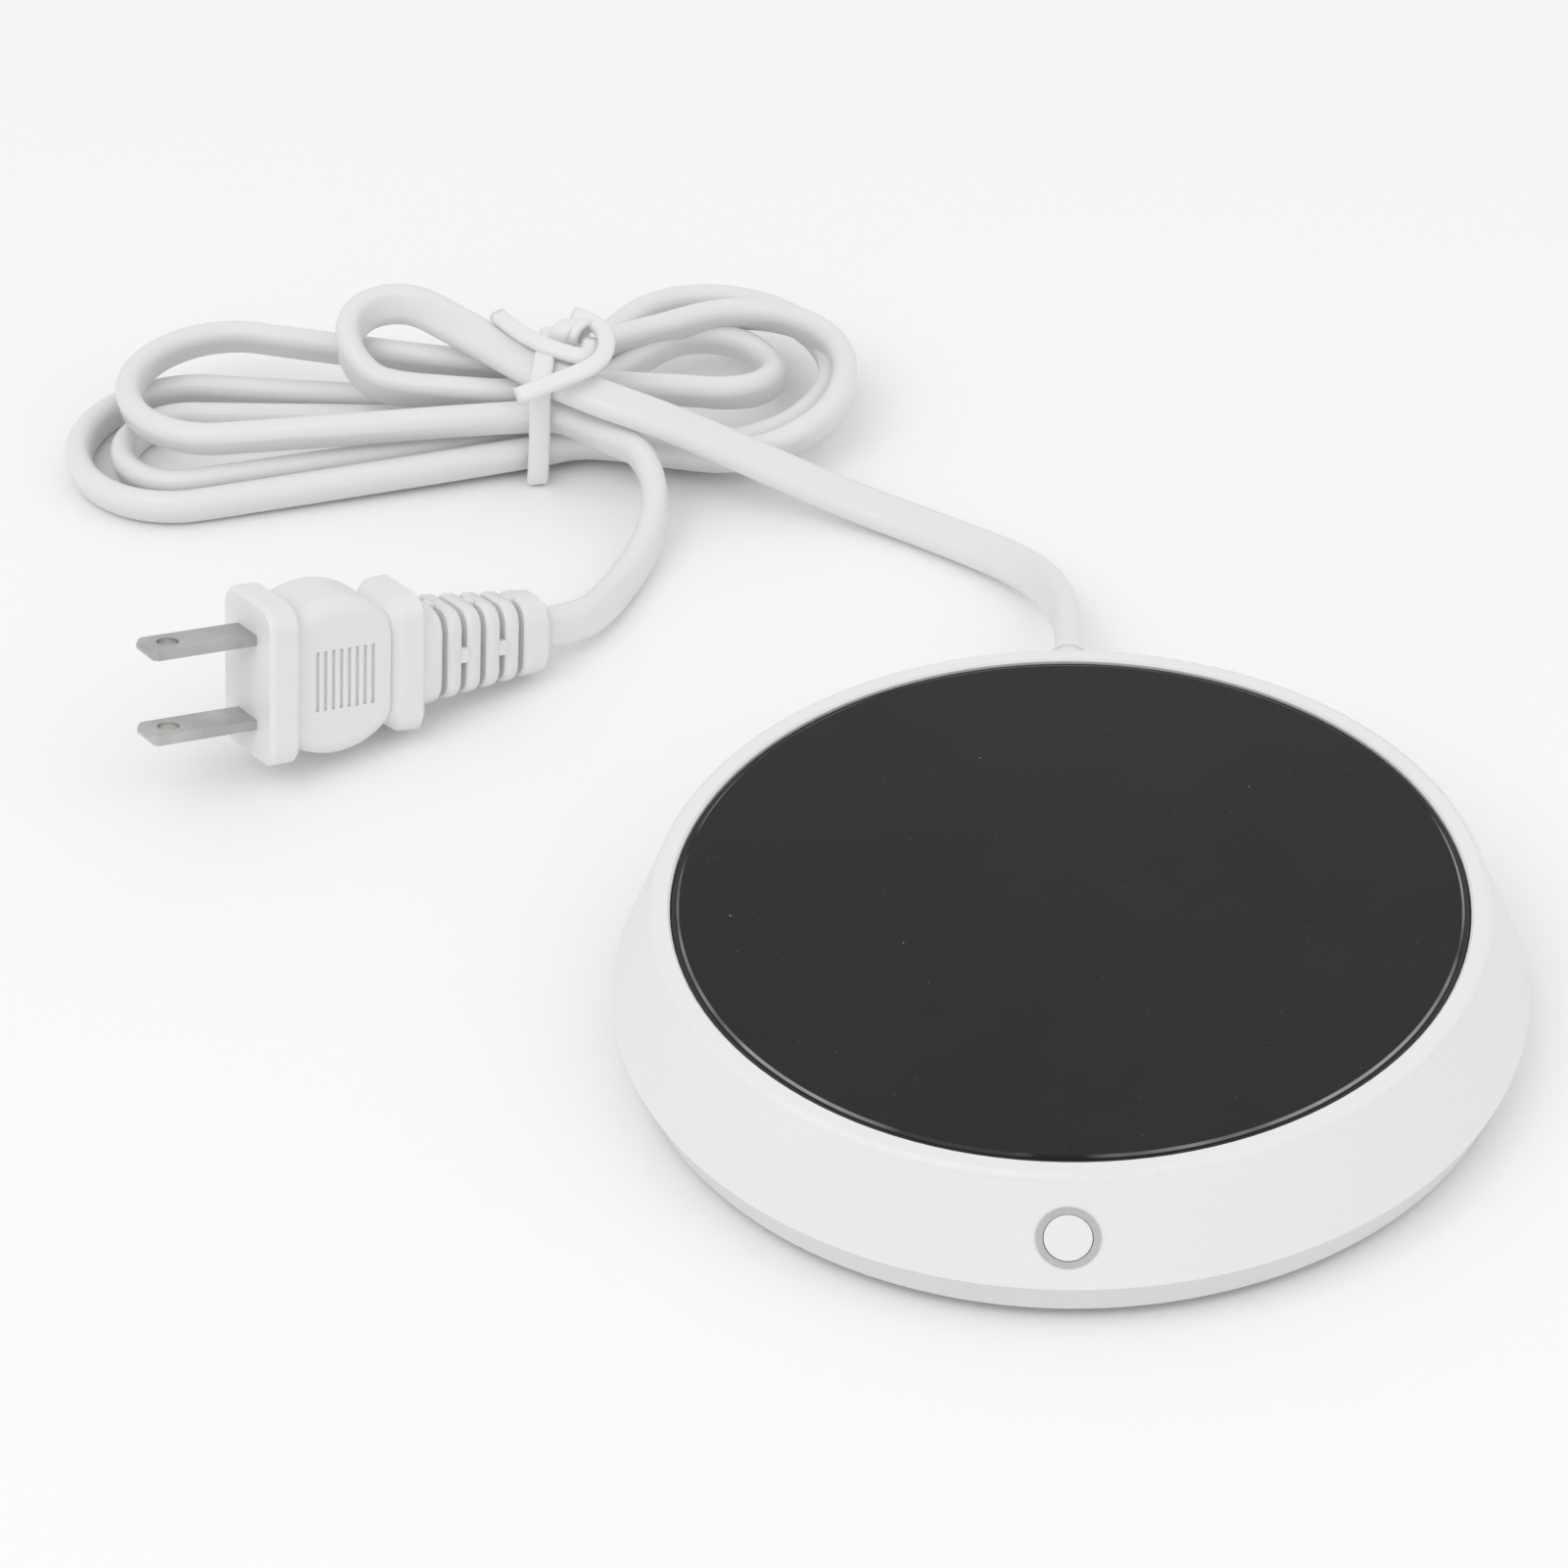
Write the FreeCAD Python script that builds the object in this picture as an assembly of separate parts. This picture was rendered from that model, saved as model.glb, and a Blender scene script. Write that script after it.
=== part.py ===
import FreeCAD, Part
import math
import os

# Electric mug warmer with its hanked mains lead.
# Millimetres, +Z up, origin under the centre of the feet, button at -Y, cord exit at +Y.

V = FreeCAD.Vector
UP = V(0, 0, 1)
MADE = {}

# Driving dimensions

WIDEST_R = 60.8         # lower edge of the sloped wall
WIDEST_Z = 7.3
SHOULDER_R = 55.5       # where the slope meets the rounded shoulder
TOP_Z = 21.2            # rim
RIM_OPEN_R = 52.5       # opening in the rim
SHOULDER_ROUND = 1.0
WALL = 2.2
PARTING_Z = 6.5         # upper housing above, base cover below

FOOT_STAND = 1.0        # how far the feet stand proud
BASE_FLOOR = 2.0
BASE_R = 58.7
BASE_TOP_R = 59.7

GLASS_T = 4.0
GLASS_SUNK = 0.15       # glass top below the rim
SEAL_W = 0.8            # visible black ring between rim and glass
SEAL_T = 1.0            # flange of the seal under the glass
LEDGE_W = 5.0
LEDGE_T = 2.0

BUTTON_Z = 13.6         # centre of the button on the slope
BUTTON_R = 3.05
BUTTON_RING_R = 4.05
BUTTON_TRAVEL = 0.6
BUTTON_CLEAR = 0.08     # running clearance of the cap in its ring
BUTTON_PROUD = 0.25

CORD_W = 6.4            # flat two-core cord, standing on edge
CORD_T = 3.9
CORD_FACETS = 3
CORD_LIFT = 0.1         # free cord above the table

PLUG_FACE = V(-116.7, 55.2, 0)
PLUG_HEADING = 212.5    # where the blades point, degrees from +X
PLUG_PITCH = 11.5
PLUG_ROLL = 12.0

# Derived sizes

BASE_Z = FOOT_STAND
FLOOR_TOP = BASE_Z + BASE_FLOOR
GLASS_R = RIM_OPEN_R - SEAL_W
GLASS_TOP = TOP_Z - GLASS_SUNK
GLASS_Z = GLASS_TOP - GLASS_T
LEDGE_TOP = GLASS_Z - SEAL_T
LEDGE_BOTTOM = LEDGE_TOP - LEDGE_T
LEDGE_R = RIM_OPEN_R - LEDGE_W
SHOULDER_Z = TOP_Z - SHOULDER_ROUND
SLOPE = math.atan2(SHOULDER_Z - WIDEST_Z, WIDEST_R - SHOULDER_R)
NORMAL = V(0, -math.sin(SLOPE), math.cos(SLOPE))
SLOPE_UP = V(0, math.cos(SLOPE), math.sin(SLOPE))


def outer_r(z):
    """Radius of the sloped wall's outside at height z."""
    return WIDEST_R - (z - WIDEST_Z) / math.tan(SLOPE)


WALL_H = WALL / math.sin(SLOPE)     # the wall's thickness measured level


# Helpers

def save(name, shape):
    MADE[name] = shape
    shape.exportStep("parts/" + name + ".step")


def cyl(r, h, at=V(0, 0, 0), axis=UP):
    return Part.makeCylinder(r, h, at, axis)


def ring(r_out, r_in, h, at=V(0, 0, 0), axis=UP):
    over = axis * 1.0
    return cyl(r_out, h, at, axis).cut(cyl(r_in, h + 2, at - over, axis))


def box(dx, dy, dz, centre_x, centre_y, z):
    return Part.makeBox(dx, dy, dz, V(centre_x - dx / 2, centre_y - dy / 2, z))


def revolve(points):
    """A solid turned from (radius, height) points; three-number steps are arcs by a point on them."""
    edges = []
    here = V(points[0][0], 0, points[0][1])
    first = here
    for step in points[1:]:
        there = V(step[0], 0, step[1])
        if len(step) == 4:
            middle = V(step[2], 0, step[3])
            edges.append(Part.Arc(here, middle, there).toShape())
        else:
            edges.append(Part.LineSegment(here, there).toShape())
        here = there
    edges.append(Part.LineSegment(here, first).toShape())
    face = Part.Face(Part.Wire(edges))
    return face.revolve(V(0, 0, 0), UP, 360)


def polar(r, angle, z=0.0):
    a = math.radians(angle)
    return V(r * math.cos(a), r * math.sin(a), z)


def stadium(width, height, centre, across, up):
    """A round-ended outline, width along across and height along up."""
    if width > height:
        return stadium(height, width, centre, up, across)
    r = width / 2
    half = height / 2 - r
    a = centre + across * r - up * half
    b = centre + across * r + up * half
    top = centre + up * (half + r)
    c = centre - across * r + up * half
    d = centre - across * r - up * half
    bottom = centre - up * (half + r)
    return Part.Wire([Part.LineSegment(a, b).toShape(), Part.Arc(b, top, c).toShape(),
                      Part.LineSegment(c, d).toShape(), Part.Arc(d, bottom, a).toShape()])


def rounded(width, height, r, centre, across, up):
    """A rectangle with corners rounded by r, as a wire."""
    x = width / 2 - r
    y = height / 2 - r
    k = r * (1 - math.sqrt(0.5))
    edges = []
    corners = [(1, 1), (-1, 1), (-1, -1), (1, -1)]
    ends = []
    for sx, sy in corners:
        side = centre + across * (sx * (x + r)) + up * (sy * y)
        cap = centre + across * (sx * x) + up * (sy * (y + r))
        mid = centre + across * (sx * (x + r - k)) + up * (sy * (y + r - k))
        ends.append((side, mid, cap) if sx * sy > 0 else (cap, mid, side))
    for i, (start, mid, stop) in enumerate(ends):
        edges.append(Part.Arc(start, mid, stop).toShape())
        edges.append(Part.LineSegment(stop, ends[(i + 1) % 4][0]).toShape())
    return Part.Wire(edges)


def cornered(width, height, r, centre, across, up):
    """The same rectangle with each corner rounded by two chords."""
    x = width / 2 - r
    y = height / 2 - r
    points = []
    for i in range(4):
        for angle in (0, 45, 90):
            a = math.radians(90 * i + angle)
            corner_x = math.copysign(x, 1 if i in (0, 3) else -1)
            corner_y = math.copysign(y, 1 if i in (0, 1) else -1)
            points.append(centre + across * (corner_x + r * math.cos(a)) + up * (corner_y + r * math.sin(a)))
    return Part.makePolygon(points + [points[0]])


def cord_outline(centre, across, up):
    """The flat cord's section with its round ends in CORD_FACETS chords each, sized to keep its area."""
    r = CORD_T / 2
    turn = math.pi / CORD_FACETS
    grow = r * math.sqrt(turn / math.sin(turn))
    half = CORD_W / 2 - r
    points = []
    for s in (1, -1):
        for i in range(CORD_FACETS + 1):
            a = turn * i
            points.append(centre + across * (s * grow * math.cos(a)) + up * (s * (half + grow * math.sin(a))))
    return Part.makePolygon(points + [points[0]])


def slab(wire, direction):
    return Part.Face(wire).extrude(direction)


# Base cover, feet and screws

FOOT_R = 5.0
FOOT_AT = 49.0
FOOT_ANGLES = [0, 90, 180, 270]
SCREW_AT = 50.0
SCREW_ANGLES = [45, 135, 225, 315]
SCREW_HEAD_R = 2.7
SCREW_HEAD_T = 1.8
SCREW_R = 1.4
WELL_R = 4.6
BOSS_R = 3.6
WELL_TOP = 7.0
SCREW_SEAT_Z = 4.2
LIP_T = 1.2
LIP_H = 2.4
LIP_GAP = 0.15

CORD_Z = 8.6            # centre of the cord where it leaves
BUSH_NECK_W = 6.6
BUSH_NECK_H = 9.4


def wall_inner_r(z):
    return outer_r(z) - WALL_H


def base_cover():
    lip_out = wall_inner_r(PARTING_Z + LIP_H) - LIP_GAP
    body = revolve([
        (0, BASE_Z), (BASE_R - 1.2, BASE_Z), (BASE_R, BASE_Z + 1.2),
        (BASE_TOP_R, PARTING_Z - 0.3), (BASE_TOP_R - 0.3, PARTING_Z),
        (lip_out, PARTING_Z), (lip_out, PARTING_Z + LIP_H), (lip_out - LIP_T, PARTING_Z + LIP_H),
        (lip_out - LIP_T, PARTING_Z - 1.2), (BASE_R - WALL, FLOOR_TOP + 1.0),
        (BASE_R - WALL - 1.0, FLOOR_TOP), (0, FLOOR_TOP)])
    for angle in SCREW_ANGLES:
        at = polar(SCREW_AT, angle)
        body = body.fuse(cyl(WELL_R, WELL_TOP - FLOOR_TOP, at + V(0, 0, FLOOR_TOP)))
    for angle in FOOT_ANGLES:
        at = polar(FOOT_AT, angle, BASE_Z - 1)
        body = body.cut(cyl(FOOT_R, 1 + BASE_FLOOR / 2, at))
    for angle in SCREW_ANGLES:
        at = polar(SCREW_AT, angle)
        body = body.cut(cyl(SCREW_HEAD_R + 0.5, SCREW_SEAT_Z, at))
        body = body.cut(cyl(SCREW_R + 0.2, WELL_TOP + 1, at))
    for x, y in BOARD_POSTS:
        post = cyl(2.6, BOARD_Z - FLOOR_TOP, V(x, y, FLOOR_TOP))
        pilot = cyl(0.9, BOARD_Z - FLOOR_TOP - 0.4, V(x, y, FLOOR_TOP + 0.4))
        body = body.fuse(post).cut(pilot)
    for x in CLAMP_XS:
        post = cyl(2.5, CLAMP_Z - FLOOR_TOP, V(x, CLAMP_Y, FLOOR_TOP))
        pilot = cyl(0.9, CLAMP_Z - FLOOR_TOP - 0.4, V(x, CLAMP_Y, FLOOR_TOP + 0.4))
        body = body.fuse(post).cut(pilot)
    saddle = box(5.0, 5.0, CORD_Z - CORD_W / 2 - FLOOR_TOP, 0, CLAMP_Y, FLOOR_TOP)
    body = body.fuse(saddle)
    return body.cut(bushing_neck(6.0)).cut(bushing_seat()).removeSplitter()


def upper_housing():
    k = SHOULDER_ROUND * (1 - math.sqrt(0.5))
    body = revolve([
        (BASE_TOP_R - 0.3, PARTING_Z), (WIDEST_R - 0.45, WIDEST_Z - 0.5), (WIDEST_R, WIDEST_Z),
        (SHOULDER_R, SHOULDER_Z), (SHOULDER_R - SHOULDER_ROUND, TOP_Z, SHOULDER_R - k * 1.15, TOP_Z - k),
        (RIM_OPEN_R + 0.3, TOP_Z), (RIM_OPEN_R, TOP_Z - 0.3),
        (RIM_OPEN_R, LEDGE_TOP), (LEDGE_R, LEDGE_TOP), (LEDGE_R, LEDGE_BOTTOM),
        (wall_inner_r(LEDGE_BOTTOM) - 1.0, LEDGE_BOTTOM), (wall_inner_r(LEDGE_BOTTOM - 1.0), LEDGE_BOTTOM - 1.0),
        (wall_inner_r(PARTING_Z + 1.4), PARTING_Z + 1.4), (wall_inner_r(PARTING_Z + 1.4), PARTING_Z)])
    for angle in SCREW_ANGLES:
        at = polar(SCREW_AT, angle)
        body = body.fuse(cyl(BOSS_R, LEDGE_TOP - 1 - WELL_TOP, at + V(0, 0, WELL_TOP)))
    for angle in PLATE_SCREW_ANGLES:
        at = polar(PLATE_SCREW_AT, angle)
        body = body.fuse(cyl(3.0, LEDGE_TOP - 1 - PLATE_BOTTOM - PLATE_T, at + V(0, 0, PLATE_BOTTOM + PLATE_T)))
    for angle in SCREW_ANGLES:
        at = polar(SCREW_AT, angle)
        body = body.cut(cyl(1.15, LEDGE_BOTTOM + 0.6 - WELL_TOP, at + V(0, 0, WELL_TOP)))
    for angle in PLATE_SCREW_ANGLES:
        at = polar(PLATE_SCREW_AT, angle)
        body = body.cut(cyl(PLATE_SCREW_R, PLATE_SCREW_LEN - PLATE_T, at + V(0, 0, PLATE_BOTTOM + PLATE_T)))
    body = body.cut(along_button(BUTTON_RING_R, -WALL - 3.0, 3.0))
    body = body.cut(slope_box(SWITCH + 1.0, SWITCH + 1.0, -SWITCH_TOP - SWITCH_BODY - 1.0, -WALL - 2.0))
    body = body.cut(bushing_neck(6.0)).cut(bushing_seat())
    return body.removeSplitter()


def rubber_feet():
    feet = []
    for angle in FOOT_ANGLES:
        foot = revolve([(0, 0), (FOOT_R - 0.8, 0), (FOOT_R - 0.2, 0.6),
                        (FOOT_R - 0.2, BASE_Z + BASE_FLOOR / 2), (0, BASE_Z + BASE_FLOOR / 2)])
        foot.translate(polar(FOOT_AT, angle))
        feet.append(foot)
    return Part.makeCompound(feet)


SCREW_SIDES = 10


def prism(r, h, at):
    """A many-sided rod inside a circle of radius r."""
    corners = [at + polar(r, 360.0 / SCREW_SIDES * i) for i in range(SCREW_SIDES + 1)]
    return slab(Part.makePolygon(corners), UP * h)


def screw(head_r, head_t, shank_r, length, at, axis=UP):
    """A slotted self-tapping screw: at is under the head, axis runs down the shank."""
    body = prism(head_r, head_t, V(0, 0, -head_t)).fuse(prism(shank_r, length, V(0, 0, 0)))
    body = body.cut(Part.makeBox(head_r * 3, 0.6, head_t * 0.5, V(-head_r * 1.5, -0.3, -head_t)))
    if axis.z < 0:
        body.rotate(V(0, 0, 0), V(1, 0, 0), 180)
    body.translate(at)
    return body


def case_screws():
    made = [screw(SCREW_HEAD_R, SCREW_HEAD_T, 1.15, 8.0, polar(SCREW_AT, a, SCREW_SEAT_Z)) for a in SCREW_ANGLES]
    return Part.makeCompound(made)


# Button on the slope

def along_button(r, start, stop):
    """A cylinder on the button's axis, from start to stop measured out from the wall's face."""
    centre = V(0, -outer_r(BUTTON_Z), BUTTON_Z)
    return cyl(r, stop - start, centre + NORMAL * start, NORMAL)


def power_button():
    cap = along_button(BUTTON_R, -WALL - 0.1, BUTTON_PROUD)
    edge = [e for e in cap.Edges if e.BoundBox.Center.y < -outer_r(BUTTON_Z) * 0.999]
    cap = cap.makeFillet(0.3, [edge[0]])
    flange = along_button(BUTTON_R + 0.55, -WALL - 0.9, -WALL - 0.1)
    stem = along_button(1.0, -BUTTON_STEM, -WALL - 0.9)
    return cap.fuse(flange).fuse(stem).removeSplitter()


BUTTON_STEM = WALL + 2.3


def button_ring():
    body = along_button(BUTTON_RING_R, -WALL, 0.1)
    return body.cut(along_button(BUTTON_R + BUTTON_CLEAR, -WALL - 1, 2))


SWITCH = 6.0
SWITCH_BODY = 3.2
SWITCH_TIP = BUTTON_STEM + BUTTON_TRAVEL + 0.1      # button stem bottom at full travel, from the face
SWITCH_TOP = SWITCH_TIP + 0.5


def slope_box(width, height, start, stop, shift_up=0.0):
    """A block square to the slope: width along X, height up the slope, start..stop along the normal."""
    centre = V(0, -outer_r(BUTTON_Z), BUTTON_Z) + SLOPE_UP * shift_up
    a = centre + NORMAL * start - V(width / 2, 0, 0) - SLOPE_UP * (height / 2)
    corner = Part.makePolygon([a, a + V(width, 0, 0), a + V(width, 0, 0) + SLOPE_UP * height,
                               a + SLOPE_UP * height, a])
    return slab(corner, NORMAL * (stop - start))


def tact_switch():
    body = slope_box(SWITCH, SWITCH, -SWITCH_TOP - SWITCH_BODY, -SWITCH_TOP)
    plunger = along_button(1.7, -SWITCH_TOP, -SWITCH_TIP)
    return body.fuse(plunger)


def button_board():
    top = -SWITCH_TOP - SWITCH_BODY
    return slope_box(17.0, 8.0, top - 1.2, top, -0.5)


# Glass plate and what heats it

SPREADER_R = 44.0
SPREADER_T = 1.5
HEATER_R = 40.0
HEATER_T = 0.5
INSULATION_R = 42.0
INSULATION_T = 1.2
PLATE_T = 0.8
PLATE_R = 45.0
PLATE_RIM = 0.9
PLATE_SCREW_AT = 50.0
PLATE_SCREW_ANGLES = [0, 70, 180, 250]
PLATE_SCREW_R = 1.0
PLATE_SCREW_LEN = 2.8
HEATER_PINS = (8.0, 16.0)
HEATER_PIN_Y = 32.0
SPREADER_Z = GLASS_Z - SPREADER_T
HEATER_Z = SPREADER_Z - HEATER_T
INSULATION_Z = HEATER_Z - INSULATION_T
PLATE_BOTTOM = INSULATION_Z - PLATE_T


def heating_glass():
    k = 0.35
    return revolve([(0, GLASS_Z), (GLASS_R - k, GLASS_Z), (GLASS_R, GLASS_Z + k),
                    (GLASS_R, GLASS_TOP - k), (GLASS_R - k, GLASS_TOP), (0, GLASS_TOP)])


def glass_seal():
    lip_top = GLASS_TOP - 0.45
    return revolve([(LEDGE_R + 0.6, LEDGE_TOP), (RIM_OPEN_R, LEDGE_TOP), (RIM_OPEN_R, lip_top - 0.3),
                    (RIM_OPEN_R - 0.2, lip_top), (GLASS_R, lip_top), (GLASS_R, GLASS_Z),
                    (LEDGE_R + 0.6, GLASS_Z)])


def heat_spreader():
    body = cyl(SPREADER_R, SPREADER_T, V(0, 0, SPREADER_Z))
    return body.cut(cyl(2.2, 1.0, V(0, 0, SPREADER_Z - 0.2)))


def heater_element():
    """Mica carrier disc of the resistance track."""
    return cyl(HEATER_R, HEATER_T, V(0, 0, HEATER_Z)).cut(cyl(2.2, 2, V(0, 0, HEATER_Z - 0.5)))


def insulation_pad():
    body = cyl(INSULATION_R, INSULATION_T, V(0, 0, INSULATION_Z))
    body = body.cut(cyl(2.2, 3, V(0, 0, INSULATION_Z - 0.5)))
    for x in HEATER_PINS:
        body = body.cut(cyl(1.8, 3, V(x, HEATER_PIN_Y, INSULATION_Z - 0.5)))
    return body


def pressure_plate():
    """Pressed steel plate with a turned-down rim and four ears on the housing's posts."""
    body = cyl(PLATE_R, PLATE_T, V(0, 0, PLATE_BOTTOM))
    for angle in PLATE_SCREW_ANGLES:
        ear = Part.makeBox(PLATE_SCREW_AT - PLATE_R + 8, 7, PLATE_T, V(PLATE_R - 4, -3.5, PLATE_BOTTOM))
        ear.rotate(V(0, 0, 0), UP, angle)
        body = body.fuse(ear)
    body = body.fuse(ring(PLATE_R, PLATE_R - PLATE_T, PLATE_RIM, V(0, 0, PLATE_BOTTOM - PLATE_RIM)))
    for angle in PLATE_SCREW_ANGLES:
        body = body.cut(cyl(1.4, 4, polar(PLATE_SCREW_AT, angle, PLATE_BOTTOM - 2)))
    body = body.cut(cyl(2.2, 4, V(0, 0, PLATE_BOTTOM - 2)))
    for x in HEATER_PINS:
        body = body.cut(cyl(1.8, 4, V(x, HEATER_PIN_Y, PLATE_BOTTOM - 2)))
    return body.removeSplitter()


def plate_screws():
    made = [screw(2.2, 1.2, PLATE_SCREW_R, PLATE_SCREW_LEN, polar(PLATE_SCREW_AT, a, PLATE_BOTTOM))
            for a in PLATE_SCREW_ANGLES]
    return Part.makeCompound(made)


def temperature_sensor():
    """Thermistor bead pressed against the spreader through the pads' centre hole."""
    start = PLATE_BOTTOM - 2.0
    return cyl(1.5, SPREADER_Z + 0.8 - start, V(0, 0, start))


def thermal_fuse():
    """One-shot fuse in its sleeve, clipped under the plate."""
    z = PLATE_BOTTOM - FUSE_R
    body = cyl(FUSE_R, 11.0, V(12.0, 12.0, z), V(1, 0, 0))
    pin = cyl(0.5, 15.0, V(10.0, 12.0, z), V(1, 0, 0))
    return body.fuse(pin)


FUSE_R = 1.8

# Control board on the base cover

BOARD_Z = 4.6
BOARD_T = 1.4
BOARD_X = 0.0
BOARD_Y = -8.0
BOARD_W = 52.0
BOARD_H = 34.0
BOARD_POSTS = [(-23.0, -22.0), (23.0, -22.0), (-23.0, 6.0), (23.0, 6.0)]
CLAMP_Y = 49.5
CLAMP_XS = (-6.5, 6.5)
CLAMP_Z = 9.6


def control_board():
    board = box(BOARD_W, BOARD_H, BOARD_T, BOARD_X, BOARD_Y, BOARD_Z)
    for x, y in BOARD_POSTS:
        board = board.cut(cyl(1.2, 4, V(x, y, BOARD_Z - 1)))
    return board


def board_components():
    """Relay, film capacitor, bridge, controller and terminal blocks, low enough to lie under the plate."""
    z = BOARD_Z + BOARD_T
    parts = [box(15.0, 10.0, 4.6, -12.0, -14.0, z),
             box(12.0, 5.0, 4.4, 6.0, -18.0, z),
             box(5.0, 4.0, 1.6, 6.0, -8.0, z),
             box(8.0, 6.0, 1.2, 14.0, -9.0, z)]
    parts.append(cyl(2.5, 8.0, V(-18.0, -3.0, z + 2.5), V(1, 0, 0)))
    for x in (-8.0, 8.0):
        block = box(9.0, 6.0, 4.4, x, 4.0, z)
        for dx in (-2.25, 2.25):
            block = block.cut(cyl(1.2, 6, V(x + dx, 5.0, z + 2.0), V(0, 1, 0)))
        parts.append(block)
    return Part.makeCompound(parts)


def board_screws():
    made = [screw(2.2, 1.2, 0.85, 4.0 - 2.4, V(x, y, BOARD_Z + BOARD_T), V(0, 0, -1)) for x, y in BOARD_POSTS]
    return Part.makeCompound(made)


# Cord entry

BUSH_OUT = 9.0
BUSH_IN = 2.0
BUSH_Y = outer_r(CORD_Z)
BUSH_GROOVE_IN = BUSH_Y - 3.9
BUSH_COLLAR_Y = WIDEST_R + 0.1      # the outer collar clears the widest edge
BUSH_FLANGE_W = 9.0
BUSH_FLANGE_H = 11.0
ACROSS = V(1, 0, 0)


def bushing_neck(extra):
    """The snap neck's outline through the wall, as a tool longer than the wall by extra."""
    centre = V(0, BUSH_GROOVE_IN - extra, CORD_Z)
    return slab(stadium(BUSH_NECK_W, BUSH_NECK_H, centre, ACROSS, UP), V(0, 3.9 + 2 * extra, 0))


def bushing_seat():
    """Flat pocket inside the wall for the bushing's inner flange."""
    start = V(0, BUSH_GROOVE_IN - 8.0, CORD_Z)
    return slab(stadium(BUSH_FLANGE_W + 0.4, BUSH_FLANGE_H + 0.2, start, ACROSS, UP), V(0, 8.0, 0))


def cord_bushing():
    inner = slab(stadium(BUSH_FLANGE_W, BUSH_FLANGE_H, V(0, BUSH_GROOVE_IN - BUSH_IN, CORD_Z), ACROSS, UP),
                 V(0, BUSH_IN, 0))
    neck = slab(stadium(BUSH_NECK_W, BUSH_NECK_H, V(0, BUSH_GROOVE_IN, CORD_Z), ACROSS, UP),
                V(0, BUSH_COLLAR_Y - BUSH_GROOVE_IN, 0))
    start = stadium(8.6, BUSH_FLANGE_H, V(0, BUSH_COLLAR_Y, CORD_Z), ACROSS, UP)
    collar_end = stadium(8.2, 10.6, V(0, BUSH_COLLAR_Y + 1.2, CORD_Z), ACROSS, UP)
    nose_start = stadium(6.6, 9.0, V(0, BUSH_COLLAR_Y + 1.2, CORD_Z), ACROSS, UP)
    nose_end = stadium(5.3, 7.8, V(0, BUSH_Y + BUSH_OUT, CORD_Z), ACROSS, UP)
    collar = Part.makeLoft([start, collar_end], True, True)
    nose = Part.makeLoft([nose_start, nose_end], True, True)
    body = inner.fuse(neck).fuse(collar).fuse(nose)
    for i in range(3):
        y = BUSH_Y + 3.2 + 1.9 * i
        groove = Part.makeBox(20, 0.9, 20, V(-10, y, CORD_Z - 10))
        core = slab(stadium(4.9, 7.4, V(0, y, CORD_Z), ACROSS, UP), V(0, 0.9, 0))
        body = body.cut(groove.cut(core))
    bore = slab(stadium(CORD_T, CORD_W, V(0, BUSH_GROOVE_IN - BUSH_IN - 1, CORD_Z), ACROSS, UP), V(0, 30, 0))
    return body.cut(bore).removeSplitter()


def cord_inner():
    """The cord from the bushing's mouth to just past the clamp, on edge."""
    start = V(0, CLAMP_Y - 5.0, CORD_Z)
    return slab(stadium(CORD_T, CORD_W, start, ACROSS, UP), V(0, BUSH_Y + BUSH_OUT - start.y, 0))


def cord_clamp():
    """Saddle bar screwed down over the cord."""
    top = CORD_Z + CORD_W / 2
    bar = box(18.0, 4.4, top + 1.2 - CLAMP_Z, 0, CLAMP_Y, CLAMP_Z)
    bar = bar.cut(box(CORD_T, 8, top - CLAMP_Z, 0, CLAMP_Y, CLAMP_Z))
    for x in CLAMP_XS:
        bar = bar.cut(box(5.4, 6, 4.0, x + math.copysign(0.6, x), CLAMP_Y, CLAMP_Z + 1.2))
        bar = bar.cut(cyl(1.2, 4, V(x, CLAMP_Y, CLAMP_Z - 1)))
    return bar.removeSplitter()


def clamp_screws():
    made = [screw(2.0, 1.0, 0.85, 5.0, V(x, CLAMP_Y, CLAMP_Z + 1.2), V(0, 0, -1)) for x in CLAMP_XS]
    return Part.makeCompound(made)


# Tubes along a route

def corner_radii(points):
    """Each corner's radius: 0.45 of its shorter run over the tangent of half its turn."""
    radii = []
    for a, b, c in zip(points, points[1:], points[2:]):
        one = b - a
        two = c - b
        turn = one.getAngle(two)
        radii.append(0.45 * min(one.Length, two.Length) / math.tan(turn / 2))
    return radii


def route_wire(points):
    """Straight runs joined by tangent arcs, each as large as its runs allow."""
    edges = []
    here = points[0]
    for i in range(1, len(points) - 1):
        a, b, c = points[i - 1], points[i], points[i + 1]
        one = (a - b).normalize()
        two = (c - b).normalize()
        reach = 0.45 * min((a - b).Length, (c - b).Length)
        start = b + one * reach
        stop = b + two * reach
        chord = (start + stop) * 0.5
        cos_half = (start - chord).Length / reach
        middle = chord + (b - chord) * (cos_half / (1 + cos_half))
        edges.append(Part.LineSegment(here, start).toShape())
        edges.append(Part.Arc(start, middle, stop).toShape())
        here = stop
    edges.append(Part.LineSegment(here, points[-1]).toShape())
    return Part.Wire(edges)


def sweep(wire, profile):
    maker = Part.BRepOffsetAPI.MakePipeShell(wire)
    maker.add(profile)
    maker.build()
    maker.makeSolid()
    return maker.shape()


def flat_tube(points):
    """Free cord on edge along a route."""
    wire = route_wire(points)
    ahead = (points[1] - points[0]).normalize()
    across = ahead.cross(UP).normalize()
    up = across.cross(ahead)
    solid = sweep(wire, cord_outline(points[0], across, up))
    return solid, wire


WIRE_SIDES = 6


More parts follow.
